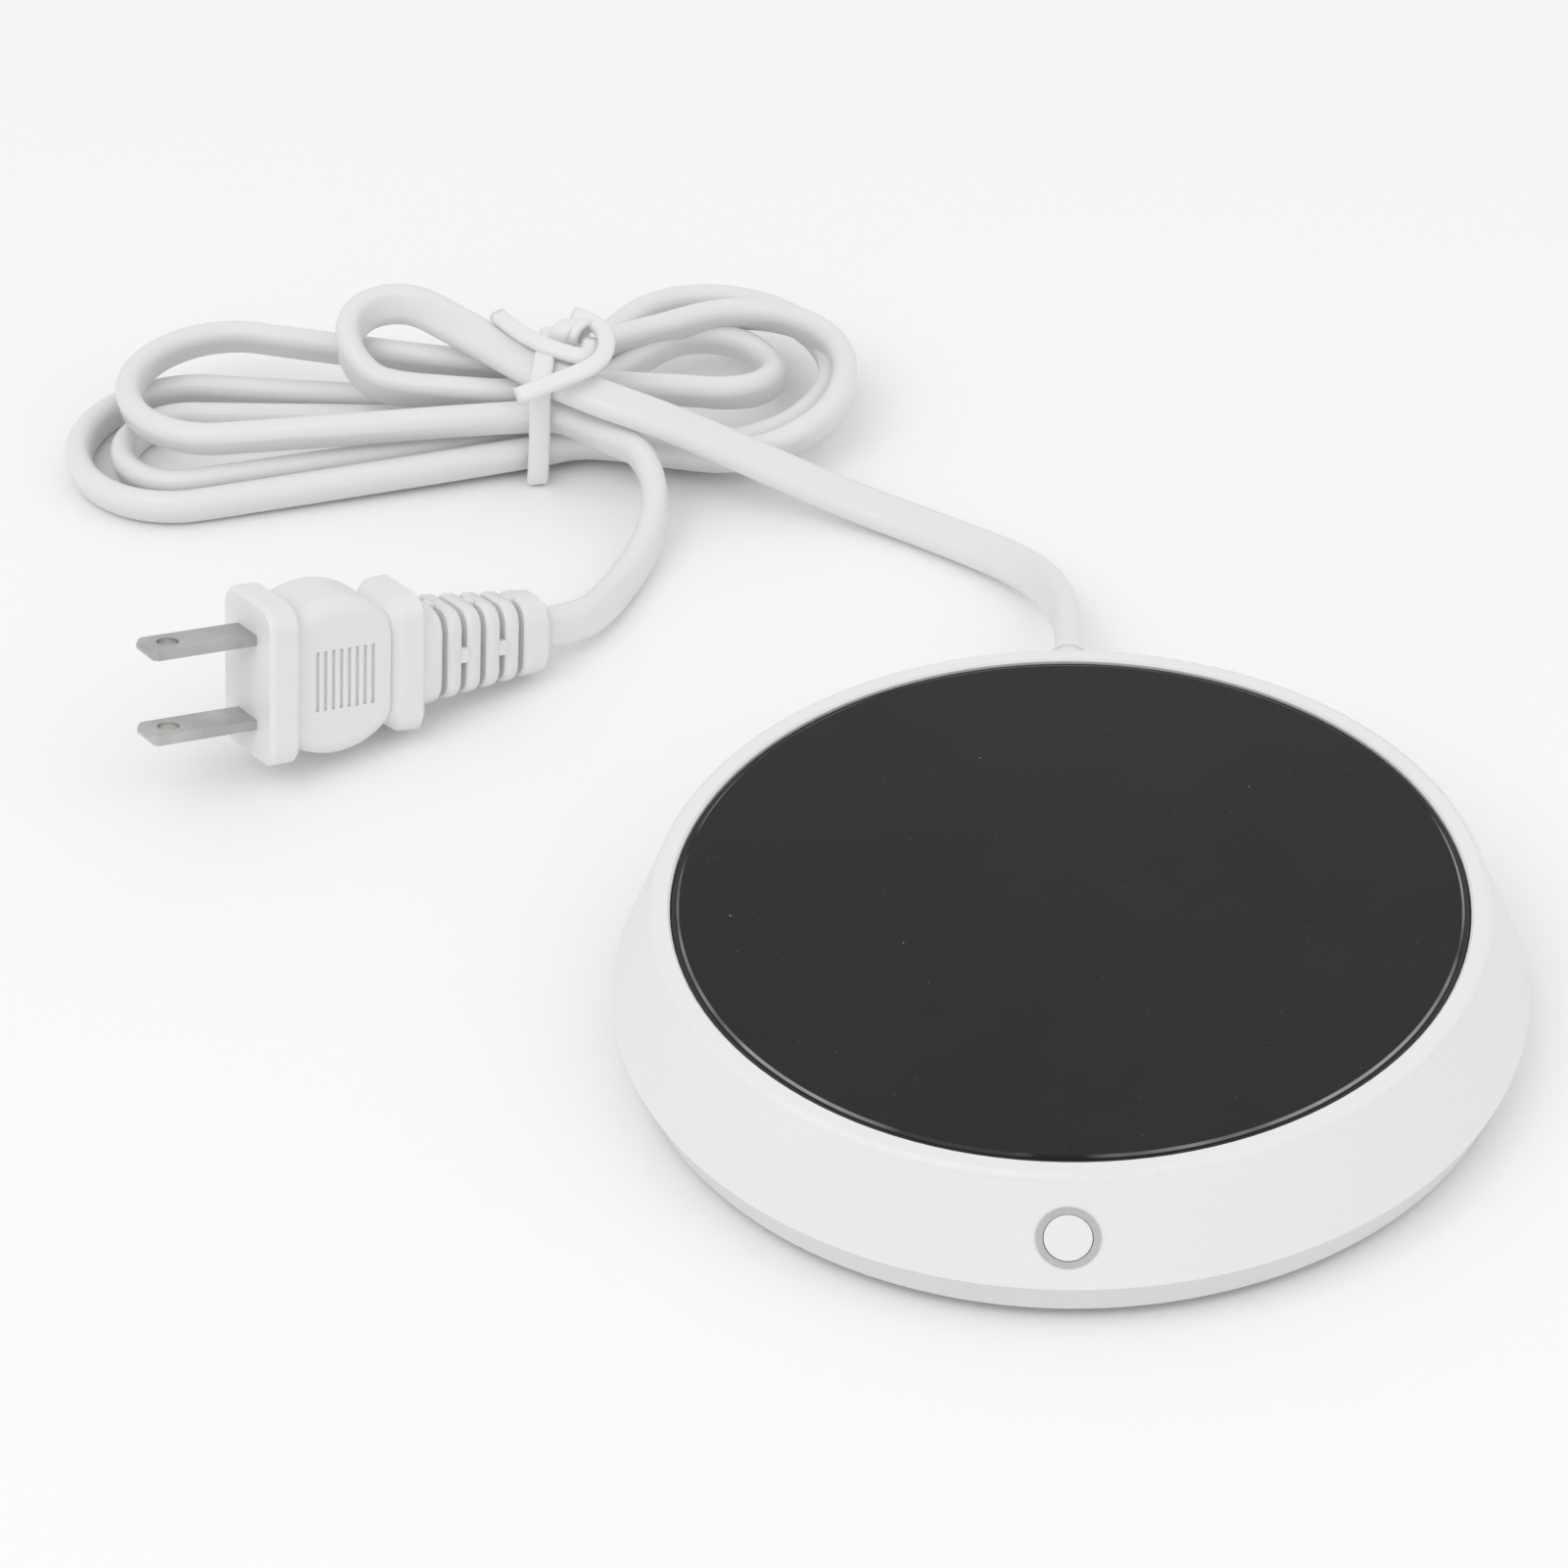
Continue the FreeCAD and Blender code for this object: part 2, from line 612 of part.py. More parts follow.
def wire_tube(points, r):
    """A thin wire with a six-sided section, its corners a little outside r."""
    wire = route_wire(points)
    ahead = (points[1] - points[0]).normalize()
    aside = ahead.cross(V(0.3, 0.5, 0.81)).normalize()
    corners = []
    for i in range(WIRE_SIDES + 1):
        corners.append(points[0] + FreeCAD.Rotation(ahead, 360.0 / WIRE_SIDES * i).multVec(aside) * (r * 1.05))
    return sweep(wire, Part.makePolygon(corners))


def report_tube(name, solid, wire, area, points):
    radii = corner_radii(points)
    print(name, "length", round(wire.Length, 1), "volume/section*length",
          round(solid.Volume / (area * wire.Length), 3), "least radius", round(min(radii), 1),
          "radii", [round(r, 1) for r in radii], "lowest", round(solid.optimalBoundingBox().ZMin, 2))


CORD_AREA = Part.Face(cord_outline(V(0, 0, 0), ACROSS, UP)).Area


def mains_leads():
    """The two stripped cores from the clamp to the mains terminal block."""
    made = []
    for side in (-1, 1):
        x0 = side * 1.1
        pts = [V(x0, CLAMP_Y - 5.0, CORD_Z), V(x0, 35.0, CORD_Z - 0.2), V(side * 3.0 - 3.0, 25.0, 7.6),
               V(side * 2.25 - 8.0, 14.5, 7.8), V(side * 2.25 - 8.0, 7.2, 8.0)]
        made.append(wire_tube(pts, 0.9))
    return Part.makeCompound(made)


def heater_leads():
    made = []
    for side in (-1, 1):
        pin = HEATER_PINS[0] if side < 0 else HEATER_PINS[1]
        pts = [V(pin, HEATER_PIN_Y, HEATER_Z), V(pin, HEATER_PIN_Y, HEATER_Z - 5.2),
               V(side * 3.0 + 10.0, HEATER_PIN_Y - 8.0, HEATER_Z - 6.4), V(side * 2.25 + 8.0, 16.0, 8.1),
               V(side * 2.25 + 8.0, 7.2, 8.0)]
        made.append(wire_tube(pts, 0.7))
    return Part.makeCompound(made)


# Hank of three turns, tied at the waist

WAIST = V(-82.0, 138.5, 0)
WAIST_TURN = 24.0
PITCH = 4.7             # strand to strand at the waist, side by side
LAYER = 6.9             # strand to strand, one on the other
LOW = CORD_W / 2 + CORD_LIFT
WAIST_LIFT = 1.0        # room for the tie under the waist
HANK_END = CORD_W       # straight end of the hank, one cord wide
HANK_IN = V(-103.3, 137.3, 11.4)
HANK_IN_HEADING = -4.0
HANK_OUT = V(-74.7, 128.4, 10.2)
HANK_OUT_HEADING = -35.0
TURNS = 3

# Waist places as (steps across, layers up), in the order of the turns.
FRONT_SLOTS = [(-0.3, 1), (-0.5, 0), (-1.5, 0), (-2.1, 1)]
LAST_HEADING = -14.0    # the last strand crosses the waist aslant
BACK_SLOTS = [(0.5, 0), (1.5, 0), (1.5, 1)]
# Loops as centre x, y, radius, swing in degrees, and layers up at their front, end and back.
RIGHT_LOOPS = [
    (-59.0, 148.6, 10.8, 35, 1.0, 0, 0),
    (-57.0, 150.2, 18.4, 35, 0, 0, 0),
    (-53.0, 143.0, 16.5, 12, 0.2, 1, 1)]
LEFT_LOOPS = [
    (-138.5, 131.2, 9.6, 0, 0, 0, 0),
    (-138.5, 133.4, 17.0, 0, 0, 0, 0),
    (-133.0, 141.0, 16.0, 0, 1, 1, 1)]

ALONG = V(math.cos(math.radians(WAIST_TURN)), math.sin(math.radians(WAIST_TURN)), 0)
SIDE = V(-ALONG.y, ALONG.x, 0)


def waist_point(slot):
    return WAIST + SIDE * (slot[0] * PITCH) + V(0, 0, LOW + WAIST_LIFT + slot[1] * LAYER)


def loop_stations(loop, end):
    """Front, end and back of a loop with the way the cord runs; end is +1 for a right loop, -1 for a left."""
    x, y, r, swing, front, tip, back = loop
    made = []
    for quarter, layer in ((-1, front), (0, tip), (1, back)):
        out = polar(1, swing + 90 * quarter)
        out = V(out.x * end, out.y, 0)
        way = UP.cross(out)
        made.append((V(x, y, LOW + layer * LAYER) + out * r, way))
    return made if end > 0 else made[::-1]


def hank_stations():
    """Points with the direction of travel at each, round all the turns."""
    inward = polar(1, HANK_IN_HEADING)
    outward = polar(1, HANK_OUT_HEADING)
    stations = [(HANK_IN, inward), (HANK_IN + inward * HANK_END, inward), (waist_point(FRONT_SLOTS[0]), ALONG)]
    for turn in range(TURNS):
        stations += loop_stations(RIGHT_LOOPS[turn], 1)
        stations.append((waist_point(BACK_SLOTS[turn]), -ALONG))
        stations += loop_stations(LEFT_LOOPS[turn], -1)
        stations.append((waist_point(FRONT_SLOTS[turn + 1]), ALONG))
    stations[-1] = (stations[-1][0], polar(1, LAST_HEADING))
    return stations + [(HANK_OUT, outward), (HANK_OUT + outward * HANK_END, outward)]


def biarc(p0, t0, p1, t1):
    """Two arcs from p0 along t0 to p1 along t1, or one line."""
    gap = p1 - p0
    both = t0 + t1
    near = 1 - t0.dot(t1)
    if near < 1e-9:
        if gap.cross(t0).Length < 1e-6:
            return [Part.LineSegment(p0, p1).toShape()]
        reach = gap.dot(gap) / (4 * gap.dot(t1))
    else:
        b = gap.dot(both)
        reach = (-b + math.sqrt(b * b + 2 * near * gap.dot(gap))) / (2 * near)
    q0 = p0 + t0 * reach
    q1 = p1 - t1 * reach
    join = (q0 + q1) * 0.5
    edges = []
    for a, q, c in ((p0, q0, join), (join, q1, p1)):
        chord = (a + c) * 0.5
        cos_half = (a - chord).Length / reach
        middle = chord + (q - chord) * (cos_half / (1 + cos_half))
        if (q - chord).Length < 1e-6:
            edges.append(Part.LineSegment(a, c).toShape())
        else:
            edges.append(Part.Arc(a, middle, c).toShape())
    return edges


def hank_wire():
    stations = hank_stations()
    edges = []
    for (p0, t0), (p1, t1) in zip(stations, stations[1:]):
        edges += biarc(p0, t0, p1, t1)
    return Part.Wire(edges)


def flat_gap(a, b):
    """Clear distance between two upright flat sections centred at a and b."""
    rise = max(0.0, abs(a.z - b.z) - (CORD_W - CORD_T))
    return math.hypot(math.hypot(a.x - b.x, a.y - b.y), rise) - CORD_T


def least_gap(one, two, step=1.5, skip=14.0):
    """Least clear distance between two cords on edge, or of one to itself past skip along it."""
    same = one is two
    a = one.discretize(Distance=step)
    b = a if same else two.discretize(Distance=step)
    away = int(skip / step)
    pairs = [(flat_gap(p, q), p, q) for i, p in enumerate(a) for q in (b[i + away:] if same else b)]
    gap, p, q = min(pairs, key=lambda pair: pair[0])
    return round(gap, 2), tuple(round(c, 1) for c in p), tuple(round(c, 1) for c in q)


def trimmed(wire, cut=9.0):
    """The line's middle part, without the ends that meet other pieces."""
    points = wire.discretize(Distance=1.5)
    kept = [p for p in points if min((p - points[0]).Length, (p - points[-1]).Length) > cut]
    return Part.makePolygon(kept)


def cord_hank():
    wire = hank_wire()
    across = UP.cross(polar(1, HANK_IN_HEADING))
    solid = sweep(wire, cord_outline(HANK_IN, across, UP))
    return solid, wire


def hank_ends():
    stations = hank_stations()
    return stations[0][0], stations[-1][0]


# Free stretches of the cord: hand-set points

MOUTH = V(0, BUSH_Y + BUSH_OUT, CORD_Z)

LEAD_POINTS = [
    (0.0, 78.0, 8.6), (-1.0, 87.0, 6.4), (-5.3, 99.0, 4.2), (-19.3, 110.6, 3.4), (-33.7, 118.3, 4.4),
    (-47.9, 121.8, 9.5), (-62.0, 123.6, 15.6), (-72.7, 126.2, 18.3), (-81.5, 132.6, 18.4), (-90.0, 140.4, 18.4),
    (-96.5, 146.2, 18.3), (-102.7, 151.8, 18.2), (-108.4, 151.7, 18.2), (-112.4, 148.0, 17.8),
    (-112.8, 141.9, 15.7), (-108.7, 137.68, 12.4)]

TAIL_POINTS = [
    (-65.4, 121.9, 10.1), (-62.4, 115.0, 6.8), (-63.3, 106.6, 4.3), (-66.0, 98.4, 3.5), (-68.8, 90.6, 3.9)]


def vectors(points):
    return [V(*p) for p in points]


# Plug

FLANGE_T = 4.6
FLANGE_W = 16.0
FLANGE_H = 24.0
GRIP_LEN = 14.5
REAR_T = 6.0
BOOT_LEN = 22.0
PLUG_LEN = FLANGE_T + GRIP_LEN + REAR_T + BOOT_LEN
BLADE_T = 1.5
BLADE_W = 6.35
BLADE_LEN = 16.2
BLADE_SPACING = 12.7
BLADE_HOLE_AT = 12.3
BLADE_HOLE_R = 1.6


def plug_place():
    """Turns the plug's own axes (+X out along the blades, +Z across them) to where it lies."""
    heading = FreeCAD.Rotation(UP, PLUG_HEADING)
    pitch = FreeCAD.Rotation(V(0, 1, 0), -PLUG_PITCH)
    roll = FreeCAD.Rotation(V(1, 0, 0), PLUG_ROLL)
    return FreeCAD.Placement(PLUG_FACE, heading.multiply(pitch).multiply(roll))


def plug_body_own():
    flange = slab(rounded(FLANGE_W, FLANGE_H, 3.4, V(-FLANGE_T, 0, 0), V(0, 1, 0), UP), V(FLANGE_T, 0, 0))
    flange = flange.makeChamfer(0.6, [e for e in flange.Edges if abs(e.BoundBox.XLength) < 1e-6])
    x0 = -FLANGE_T
    x1 = x0 - GRIP_LEN
    mid = (x0 + x1) / 2
    half = 6.6
    side = Part.Wire([
        Part.Arc(V(x0 + 0.3, -half, 9.6), V(mid, -half, 11.8), V(x1 - 0.3, -half, 8.4)).toShape(),
        Part.LineSegment(V(x1 - 0.3, -half, 8.4), V(x1 - 0.3, -half, -8.4)).toShape(),
        Part.Arc(V(x1 - 0.3, -half, -8.4), V(mid, -half, -11.8), V(x0 + 0.3, -half, -9.6)).toShape(),
        Part.LineSegment(V(x0 + 0.3, -half, -9.6), V(x0 + 0.3, -half, 9.6)).toShape()])
    grip = slab(side, V(0, 2 * half, 0))
    long_edges = [e for e in grip.Edges if e.BoundBox.XLength > GRIP_LEN * 0.9]
    grip = grip.makeFillet(2.4, long_edges)
    for s in (-1, 1):
        for i in range(8):
            x = x0 - 3.0 - 1.25 * i
            cut = Part.makeBox(0.55, 0.9, 9.0, V(x - 0.55, s * half - 0.45, -4.5))
            grip = grip.cut(cut)
    rear0 = rounded(11.0, 17.5, 3.0, V(x1, 0, 0), V(0, 1, 0), UP)
    rear1 = rounded(14.0, 20.5, 3.0, V(x1 - 2.2, 0, 0), V(0, 1, 0), UP)
    rear2 = rounded(14.4, 20.8, 3.0, V(x1 - REAR_T + 0.8, 0, 0), V(0, 1, 0), UP)
    rear3 = rounded(12.6, 18.8, 2.4, V(x1 - REAR_T, 0, 0), V(0, 1, 0), UP)
    rear = Part.makeLoft([rear0, rear1], True, True)
    rear = rear.fuse(Part.makeLoft([rear1, rear2], True, True)).fuse(Part.makeLoft([rear2, rear3], True, True))
    body = flange.fuse(grip).fuse(rear)
    for s in (-1, 1):
        z = s * BLADE_SPACING / 2
        body = body.cut(Part.makeBox(9.0, BLADE_W, BLADE_T, V(-8.0, -BLADE_W / 2, z - BLADE_T / 2)))
    return body.removeSplitter()


def blades_own():
    made = []
    for s in (-1, 1):
        z = s * BLADE_SPACING / 2
        c = 1.1
        w = BLADE_W / 2
        outline = Part.makePolygon([V(-8.0, -w, z), V(BLADE_LEN - c, -w, z), V(BLADE_LEN, -w + c, z),
                                    V(BLADE_LEN, w - c, z), V(BLADE_LEN - c, w, z), V(-8.0, w, z), V(-8.0, -w, z)])
        blade = slab(outline, V(0, 0, BLADE_T))
        blade.translate(V(0, 0, -BLADE_T / 2))
        nose = [e for e in blade.Edges if e.BoundBox.XMin > BLADE_LEN - 0.01 and e.BoundBox.YLength > 2]
        blade = blade.makeChamfer(0.5, nose)
        made.append(blade.cut(cyl(BLADE_HOLE_R, 4, V(BLADE_HOLE_AT, 0, z - 2))))
    return made


def boot_own():
    """Tapered strain relief: rings of slots, staggered from ring to ring, round the cord."""
    x0 = -(PLUG_LEN - BOOT_LEN)
    x1 = -PLUG_LEN
    big = cornered(12.0, 15.0, 3.0, V(x0, 0, 0), V(0, 1, 0), UP)
    small = cornered(8.6, 10.4, 2.6, V(x1, 0, 0), V(0, 1, 0), UP)
    body = Part.makeLoft([big, small], True, True)
    slot_w = 1.1
    count = 9
    step = (BOOT_LEN - 4.2) / count
    for i in range(count):
        x = x0 - 2.0 - i * step
        frac = (x0 - x) / BOOT_LEN
        core = cornered(9.0 - 3.4 * frac, 12.0 - 4.6 * frac, 1.6, V(x - slot_w, 0, 0), V(0, 1, 0), UP)
        around = Part.makeBox(slot_w, 30, 30, V(x - slot_w, -15, -15)).cut(slab(core, V(slot_w, 0, 0)))
        if i % 2 == 0:
            keep = Part.makeBox(slot_w + 2, 30, 3.0, V(x - slot_w - 1, -15, -1.5))
        else:
            keep = Part.makeBox(slot_w + 2, 2.6, 30, V(x - slot_w - 1, -1.3, -15))
        body = body.cut(around.cut(keep))
    return body.removeSplitter()


def placed(shape, lift):
    out = shape.copy()
    out.Placement = plug_place()
    out.translate(V(0, 0, lift))
    return out


# Tie round the waist

TIE_W = 2.6
TIE_T = 0.9
TIE_R = 1.15
TIE_LOW = 0.12
# Inside of the band as it goes round the strands: places along Y from the waist, and heights.
TIE_INSIDE = [
    (-11.5, TIE_LOW + TIE_T), (13.5, TIE_LOW + TIE_T), (13.5, 14.6), (-1.0, 22.0), (-10.2, 22.0), (-11.5, 15.0)]


def tie_ring():
    """Flat band round the bundle and over the cord that crosses it."""
    middle_y = sum(y for y, z in TIE_INSIDE) / len(TIE_INSIDE)
    middle_z = sum(z for y, z in TIE_INSIDE) / len(TIE_INSIDE)

    def outline(grow):
        pts = []
        for y, z in TIE_INSIDE:
            out = V(0, math.copysign(grow, y - middle_y), math.copysign(grow, z - middle_z))
            pts.append(WAIST + V(-TIE_W / 2, y, z) + out)
        return Part.makePolygon(pts + [pts[0]])

    return slab(outline(TIE_T), V(TIE_W, 0, 0)).cut(slab(outline(0.0), V(TIE_W, 0, 0)))


def cord_tie():
    """Band, knot and the tie's two free ends."""
    knot_at = WAIST + V(2.5, 3.2, 22.6)
    knot = Part.makeTorus(2.3, TIE_R, knot_at, V(0.9, 0.35, 0.25))
    one = [(2.0, -5.2, -0.4), (-3.5, -4.0, 0.3), (-7.5, -1.2, 0.7), (-12.0, 3.0, 0.5)]
    two = [(2.8, 0.4, 0.2), (4.6, -4.5, 0.6), (0.5, -9.3, 0.8), (-8.0, -12.4, -0.6)]

    def strand(offsets):
        return wire_tube([knot_at + V(*offset) for offset in offsets], TIE_R)

    return tie_ring(), knot, strand(one), strand(two)


def main():
    os.makedirs("parts", exist_ok=True)
    save("base_cover", base_cover())
    save("upper_housing", upper_housing())
    save("rubber_feet", rubber_feet())
    save("case_screws", case_screws())
    save("power_button", power_button())
    save("button_ring", button_ring())
    save("tact_switch", tact_switch())
    save("button_board", button_board())
    save("heating_glass", heating_glass())
    save("glass_seal", glass_seal())
    save("heat_spreader", heat_spreader())
    save("heater_element", heater_element())
    save("insulation_pad", insulation_pad())
    save("pressure_plate", pressure_plate())
    save("plate_screws", plate_screws())
    save("temperature_sensor", temperature_sensor())
    save("thermal_fuse", thermal_fuse())
    save("control_board", control_board())
    save("board_components", board_components())
    save("board_screws", board_screws())
    save("cord_bushing", cord_bushing())
    save("cord_inner", cord_inner())
    save("cord_clamp", cord_clamp())
    save("clamp_screws", clamp_screws())
    save("mains_leads", mains_leads())
    save("heater_leads", heater_leads())

    lift = 0.1 - min(placed(plug_body_own(), 0).BoundBox.ZMin, placed(boot_own(), 0).BoundBox.ZMin)
    boot_end = plug_place().multVec(V(-PLUG_LEN, 0, 0)) + V(0, 0, lift)
    out_of_boot = plug_place().Rotation.multVec(V(-1, 0, 0))
    save("plug_body", placed(plug_body_own(), lift))
    save("plug_boot", placed(boot_own(), lift))
    save("plug_blades", Part.makeCompound([placed(b, lift) for b in blades_own()]))

    hank, wire = cord_hank()
    hank_line = wire
    print("hank length", round(wire.Length, 1), "ratio", round(hank.Volume / (CORD_AREA * wire.Length), 3),
          "least gap", least_gap(wire, wire), "box", hank.optimalBoundingBox())
    save("cord_hank", hank)
    start, stop = hank_ends()
    lead = [MOUTH] + vectors(LEAD_POINTS) + [start]
    solid, wire = flat_tube(lead)
    report_tube("lead", solid, wire, CORD_AREA, lead)
    lead_line = wire
    save("cord_lead", solid)
    tail = [stop] + vectors(TAIL_POINTS) + [boot_end + out_of_boot * 7.0, boot_end]
    solid, wire = flat_tube(tail)
    report_tube("tail", solid, wire, CORD_AREA, tail)
    print("lead to hank", least_gap(trimmed(lead_line), hank_line), "tail to hank", least_gap(trimmed(wire), hank_line),
          "lead to tail", least_gap(lead_line, wire), "lead to itself", least_gap(lead_line, lead_line, skip=25.0))
    save("cord_tail", solid)
    print("boot end", boot_end, out_of_boot, "hank ends", start, stop, "lift", lift)
    save("cord_tie", Part.makeCompound(list(cord_tie())))
    for name, shape in MADE.items():
        if not shape.isValid():
            print(name, "has a solid that is not valid", [s.isValid() for s in shape.Solids])


main()
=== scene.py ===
import math
import bpy
import bmesh
from mathutils import Matrix, Vector


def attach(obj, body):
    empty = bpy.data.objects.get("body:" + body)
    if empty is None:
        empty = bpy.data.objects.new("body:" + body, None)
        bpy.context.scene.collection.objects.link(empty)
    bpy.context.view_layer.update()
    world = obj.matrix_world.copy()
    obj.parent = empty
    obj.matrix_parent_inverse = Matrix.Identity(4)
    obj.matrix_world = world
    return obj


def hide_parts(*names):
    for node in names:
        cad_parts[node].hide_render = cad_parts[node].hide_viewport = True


# Electric mug warmer with its hanked mains lead: looks, cord and camera.
# Metres, +Z up, origin under the housing, button at -Y.

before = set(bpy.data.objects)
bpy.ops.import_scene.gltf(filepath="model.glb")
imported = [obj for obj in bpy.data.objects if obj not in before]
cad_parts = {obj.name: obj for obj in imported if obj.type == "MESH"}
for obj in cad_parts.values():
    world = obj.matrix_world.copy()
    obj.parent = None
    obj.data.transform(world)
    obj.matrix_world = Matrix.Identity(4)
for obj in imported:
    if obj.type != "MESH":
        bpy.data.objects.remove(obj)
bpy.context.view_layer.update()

MM = 0.001
WARMER = "warmer"

# Camera of the photograph, fitted to the rim, the slope and the base.

PHOTO_PX = 1601
FOCAL_PX = 5000.0
CAMERA_AT = Vector((-1.58, -503.45, 423.55)) * MM
CAMERA_YAW = -4.016
CAMERA_DOWN = 37.295
CAMERA_ROLL = -2.189


def photo_camera():
    yaw, down, roll = (math.radians(a) for a in (CAMERA_YAW, CAMERA_DOWN, CAMERA_ROLL))
    ahead = Vector((math.sin(yaw) * math.cos(down), math.cos(yaw) * math.cos(down), -math.sin(down)))
    level = Vector((math.cos(yaw), -math.sin(yaw), 0.0))
    steep = level.cross(ahead)
    right = level * math.cos(roll) + steep * math.sin(roll)
    up = steep * math.cos(roll) - level * math.sin(roll)
    data = bpy.data.cameras.new("photo_camera")
    data.sensor_fit = "HORIZONTAL"
    data.sensor_width = 36.0
    data.lens = FOCAL_PX / PHOTO_PX * data.sensor_width
    data.clip_start = 0.01
    data.clip_end = 10.0
    camera = bpy.data.objects.new("photo_camera", data)
    turn = Matrix((right, up, -ahead)).transposed()
    camera.matrix_world = Matrix.Translation(CAMERA_AT) @ turn.to_4x4()
    bpy.context.scene.collection.objects.link(camera)
    bpy.context.scene.camera = camera


# Node materials: groups give masks and values, and each material keeps its own shader.

def new_group(name, inputs, outputs):
    tree = bpy.data.node_groups.new(name, "ShaderNodeTree")
    for label, default in inputs:
        socket = tree.interface.new_socket(label, in_out="INPUT", socket_type="NodeSocketFloat")
        socket.default_value = default
    for label in outputs:
        tree.interface.new_socket(label, in_out="OUTPUT", socket_type="NodeSocketFloat")
    return tree, tree.nodes.new("NodeGroupInput"), tree.nodes.new("NodeGroupOutput")


def noise(tree, scale, detail=3.0, rough=0.55):
    node = tree.nodes.new("ShaderNodeTexNoise")
    node.inputs["Scale"].default_value = scale
    node.inputs["Detail"].default_value = detail
    node.inputs["Roughness"].default_value = rough
    return node


def math_node(tree, operation, a, b=None, clamp=False):
    node = tree.nodes.new("ShaderNodeMath")
    node.operation = operation
    node.use_clamp = clamp
    for socket, value in zip(node.inputs, (a, b)):
        if value is None:
            continue
        if isinstance(value, (int, float)):
            socket.default_value = value
        else:
            tree.links.new(value, socket)
    return node.outputs[0]


def map_range(tree, value, low, high, to_low=0.0, to_high=1.0):
    node = tree.nodes.new("ShaderNodeMapRange")
    tree.links.new(value, node.inputs["Value"])
    for label, number in (("From Min", low), ("From Max", high), ("To Min", to_low), ("To Max", to_high)):
        node.inputs[label].default_value = number
    return node.outputs["Result"]


def moulding_group():
    """Spark-eroded tool skin: a fine height, and a slow cloud for colour and gloss."""
    tree, given, out = new_group("moulded_skin", [("Scale", 3000.0)], ["Height", "Cloud"])
    where = tree.nodes.new("ShaderNodeTexCoord").outputs["Object"]
    fine = noise(tree, 3000.0, 2.0)
    tree.links.new(where, fine.inputs["Vector"])
    tree.links.new(given.outputs["Scale"], fine.inputs["Scale"])
    slow = noise(tree, 38.0, 4.0)
    tree.links.new(where, slow.inputs["Vector"])
    tree.links.new(fine.outputs["Fac"], out.inputs["Height"])
    tree.links.new(map_range(tree, slow.outputs["Fac"], 0.3, 0.7), out.inputs["Cloud"])
    return tree


def wear_group():
    """Edges that hands polish, broken up by a small noise."""
    tree, given, out = new_group("edge_wear", [("Amount", 1.0)], ["Mask"])
    geometry = tree.nodes.new("ShaderNodeNewGeometry")
    edge = map_range(tree, geometry.outputs["Pointiness"], 0.52, 0.60)
    patch = noise(tree, 420.0, 3.0)
    tree.links.new(tree.nodes.new("ShaderNodeTexCoord").outputs["Object"], patch.inputs["Vector"])
    broken = map_range(tree, patch.outputs["Fac"], 0.40, 0.62)
    mask = math_node(tree, "MULTIPLY", edge, broken)
    tree.links.new(math_node(tree, "MULTIPLY", mask, given.outputs["Amount"], True), out.inputs["Mask"])
    return tree


def dust_group():
    """Settled specks: small dots, more on faces that look up."""
    tree, given, out = new_group("settled_dust", [("Scale", 900.0), ("Size", 0.12)], ["Mask"])
    dots = tree.nodes.new("ShaderNodeTexVoronoi")
    tree.links.new(tree.nodes.new("ShaderNodeTexCoord").outputs["Object"], dots.inputs["Vector"])
    tree.links.new(given.outputs["Scale"], dots.inputs["Scale"])
    near = math_node(tree, "LESS_THAN", dots.outputs["Distance"], given.outputs["Size"])
    pick = tree.nodes.new("ShaderNodeTexWhiteNoise")
    tree.links.new(dots.outputs["Position"], pick.inputs["Vector"])
    few = math_node(tree, "GREATER_THAN", pick.outputs["Value"], 0.80)
    facing = tree.nodes.new("ShaderNodeSeparateXYZ")
    tree.links.new(tree.nodes.new("ShaderNodeNewGeometry").outputs["Normal"], facing.inputs["Vector"])
    upward = map_range(tree, facing.outputs["Z"], 0.2, 0.9)
    mask = math_node(tree, "MULTIPLY", math_node(tree, "MULTIPLY", near, few), upward)
    tree.links.new(mask, out.inputs["Mask"])
    return tree


MOULDING = moulding_group()
WEAR = wear_group()
DUST = dust_group()


def use_group(tree, group, **inputs):
    node = tree.nodes.new("ShaderNodeGroup")
    node.node_tree = group
    for label, value in inputs.items():
        node.inputs[label].default_value = value
    return node


def mix_colour(tree, factor, a, b):
    node = tree.nodes.new("ShaderNodeMix")
    node.data_type = "RGBA"
    tree.links.new(factor, node.inputs["Factor"])
    for socket, value in ((node.inputs["A"], a), (node.inputs["B"], b)):
        if isinstance(value, tuple):
            socket.default_value = (*value, 1.0)
        else:
            tree.links.new(value, socket)
    return node.outputs["Result"]


def start_material(name):
    material = bpy.data.materials.new(name)
    material.use_nodes = True
    tree = material.node_tree
    return material, tree, tree.nodes["Principled BSDF"]


def set_bump(tree, shader, height, strength, distance):
    bump = tree.nodes.new("ShaderNodeBump")
    bump.inputs["Strength"].default_value = strength
    bump.inputs["Distance"].default_value = distance
    tree.links.new(height, bump.inputs["Height"])
    tree.links.new(bump.outputs["Normal"], shader.inputs["Normal"])


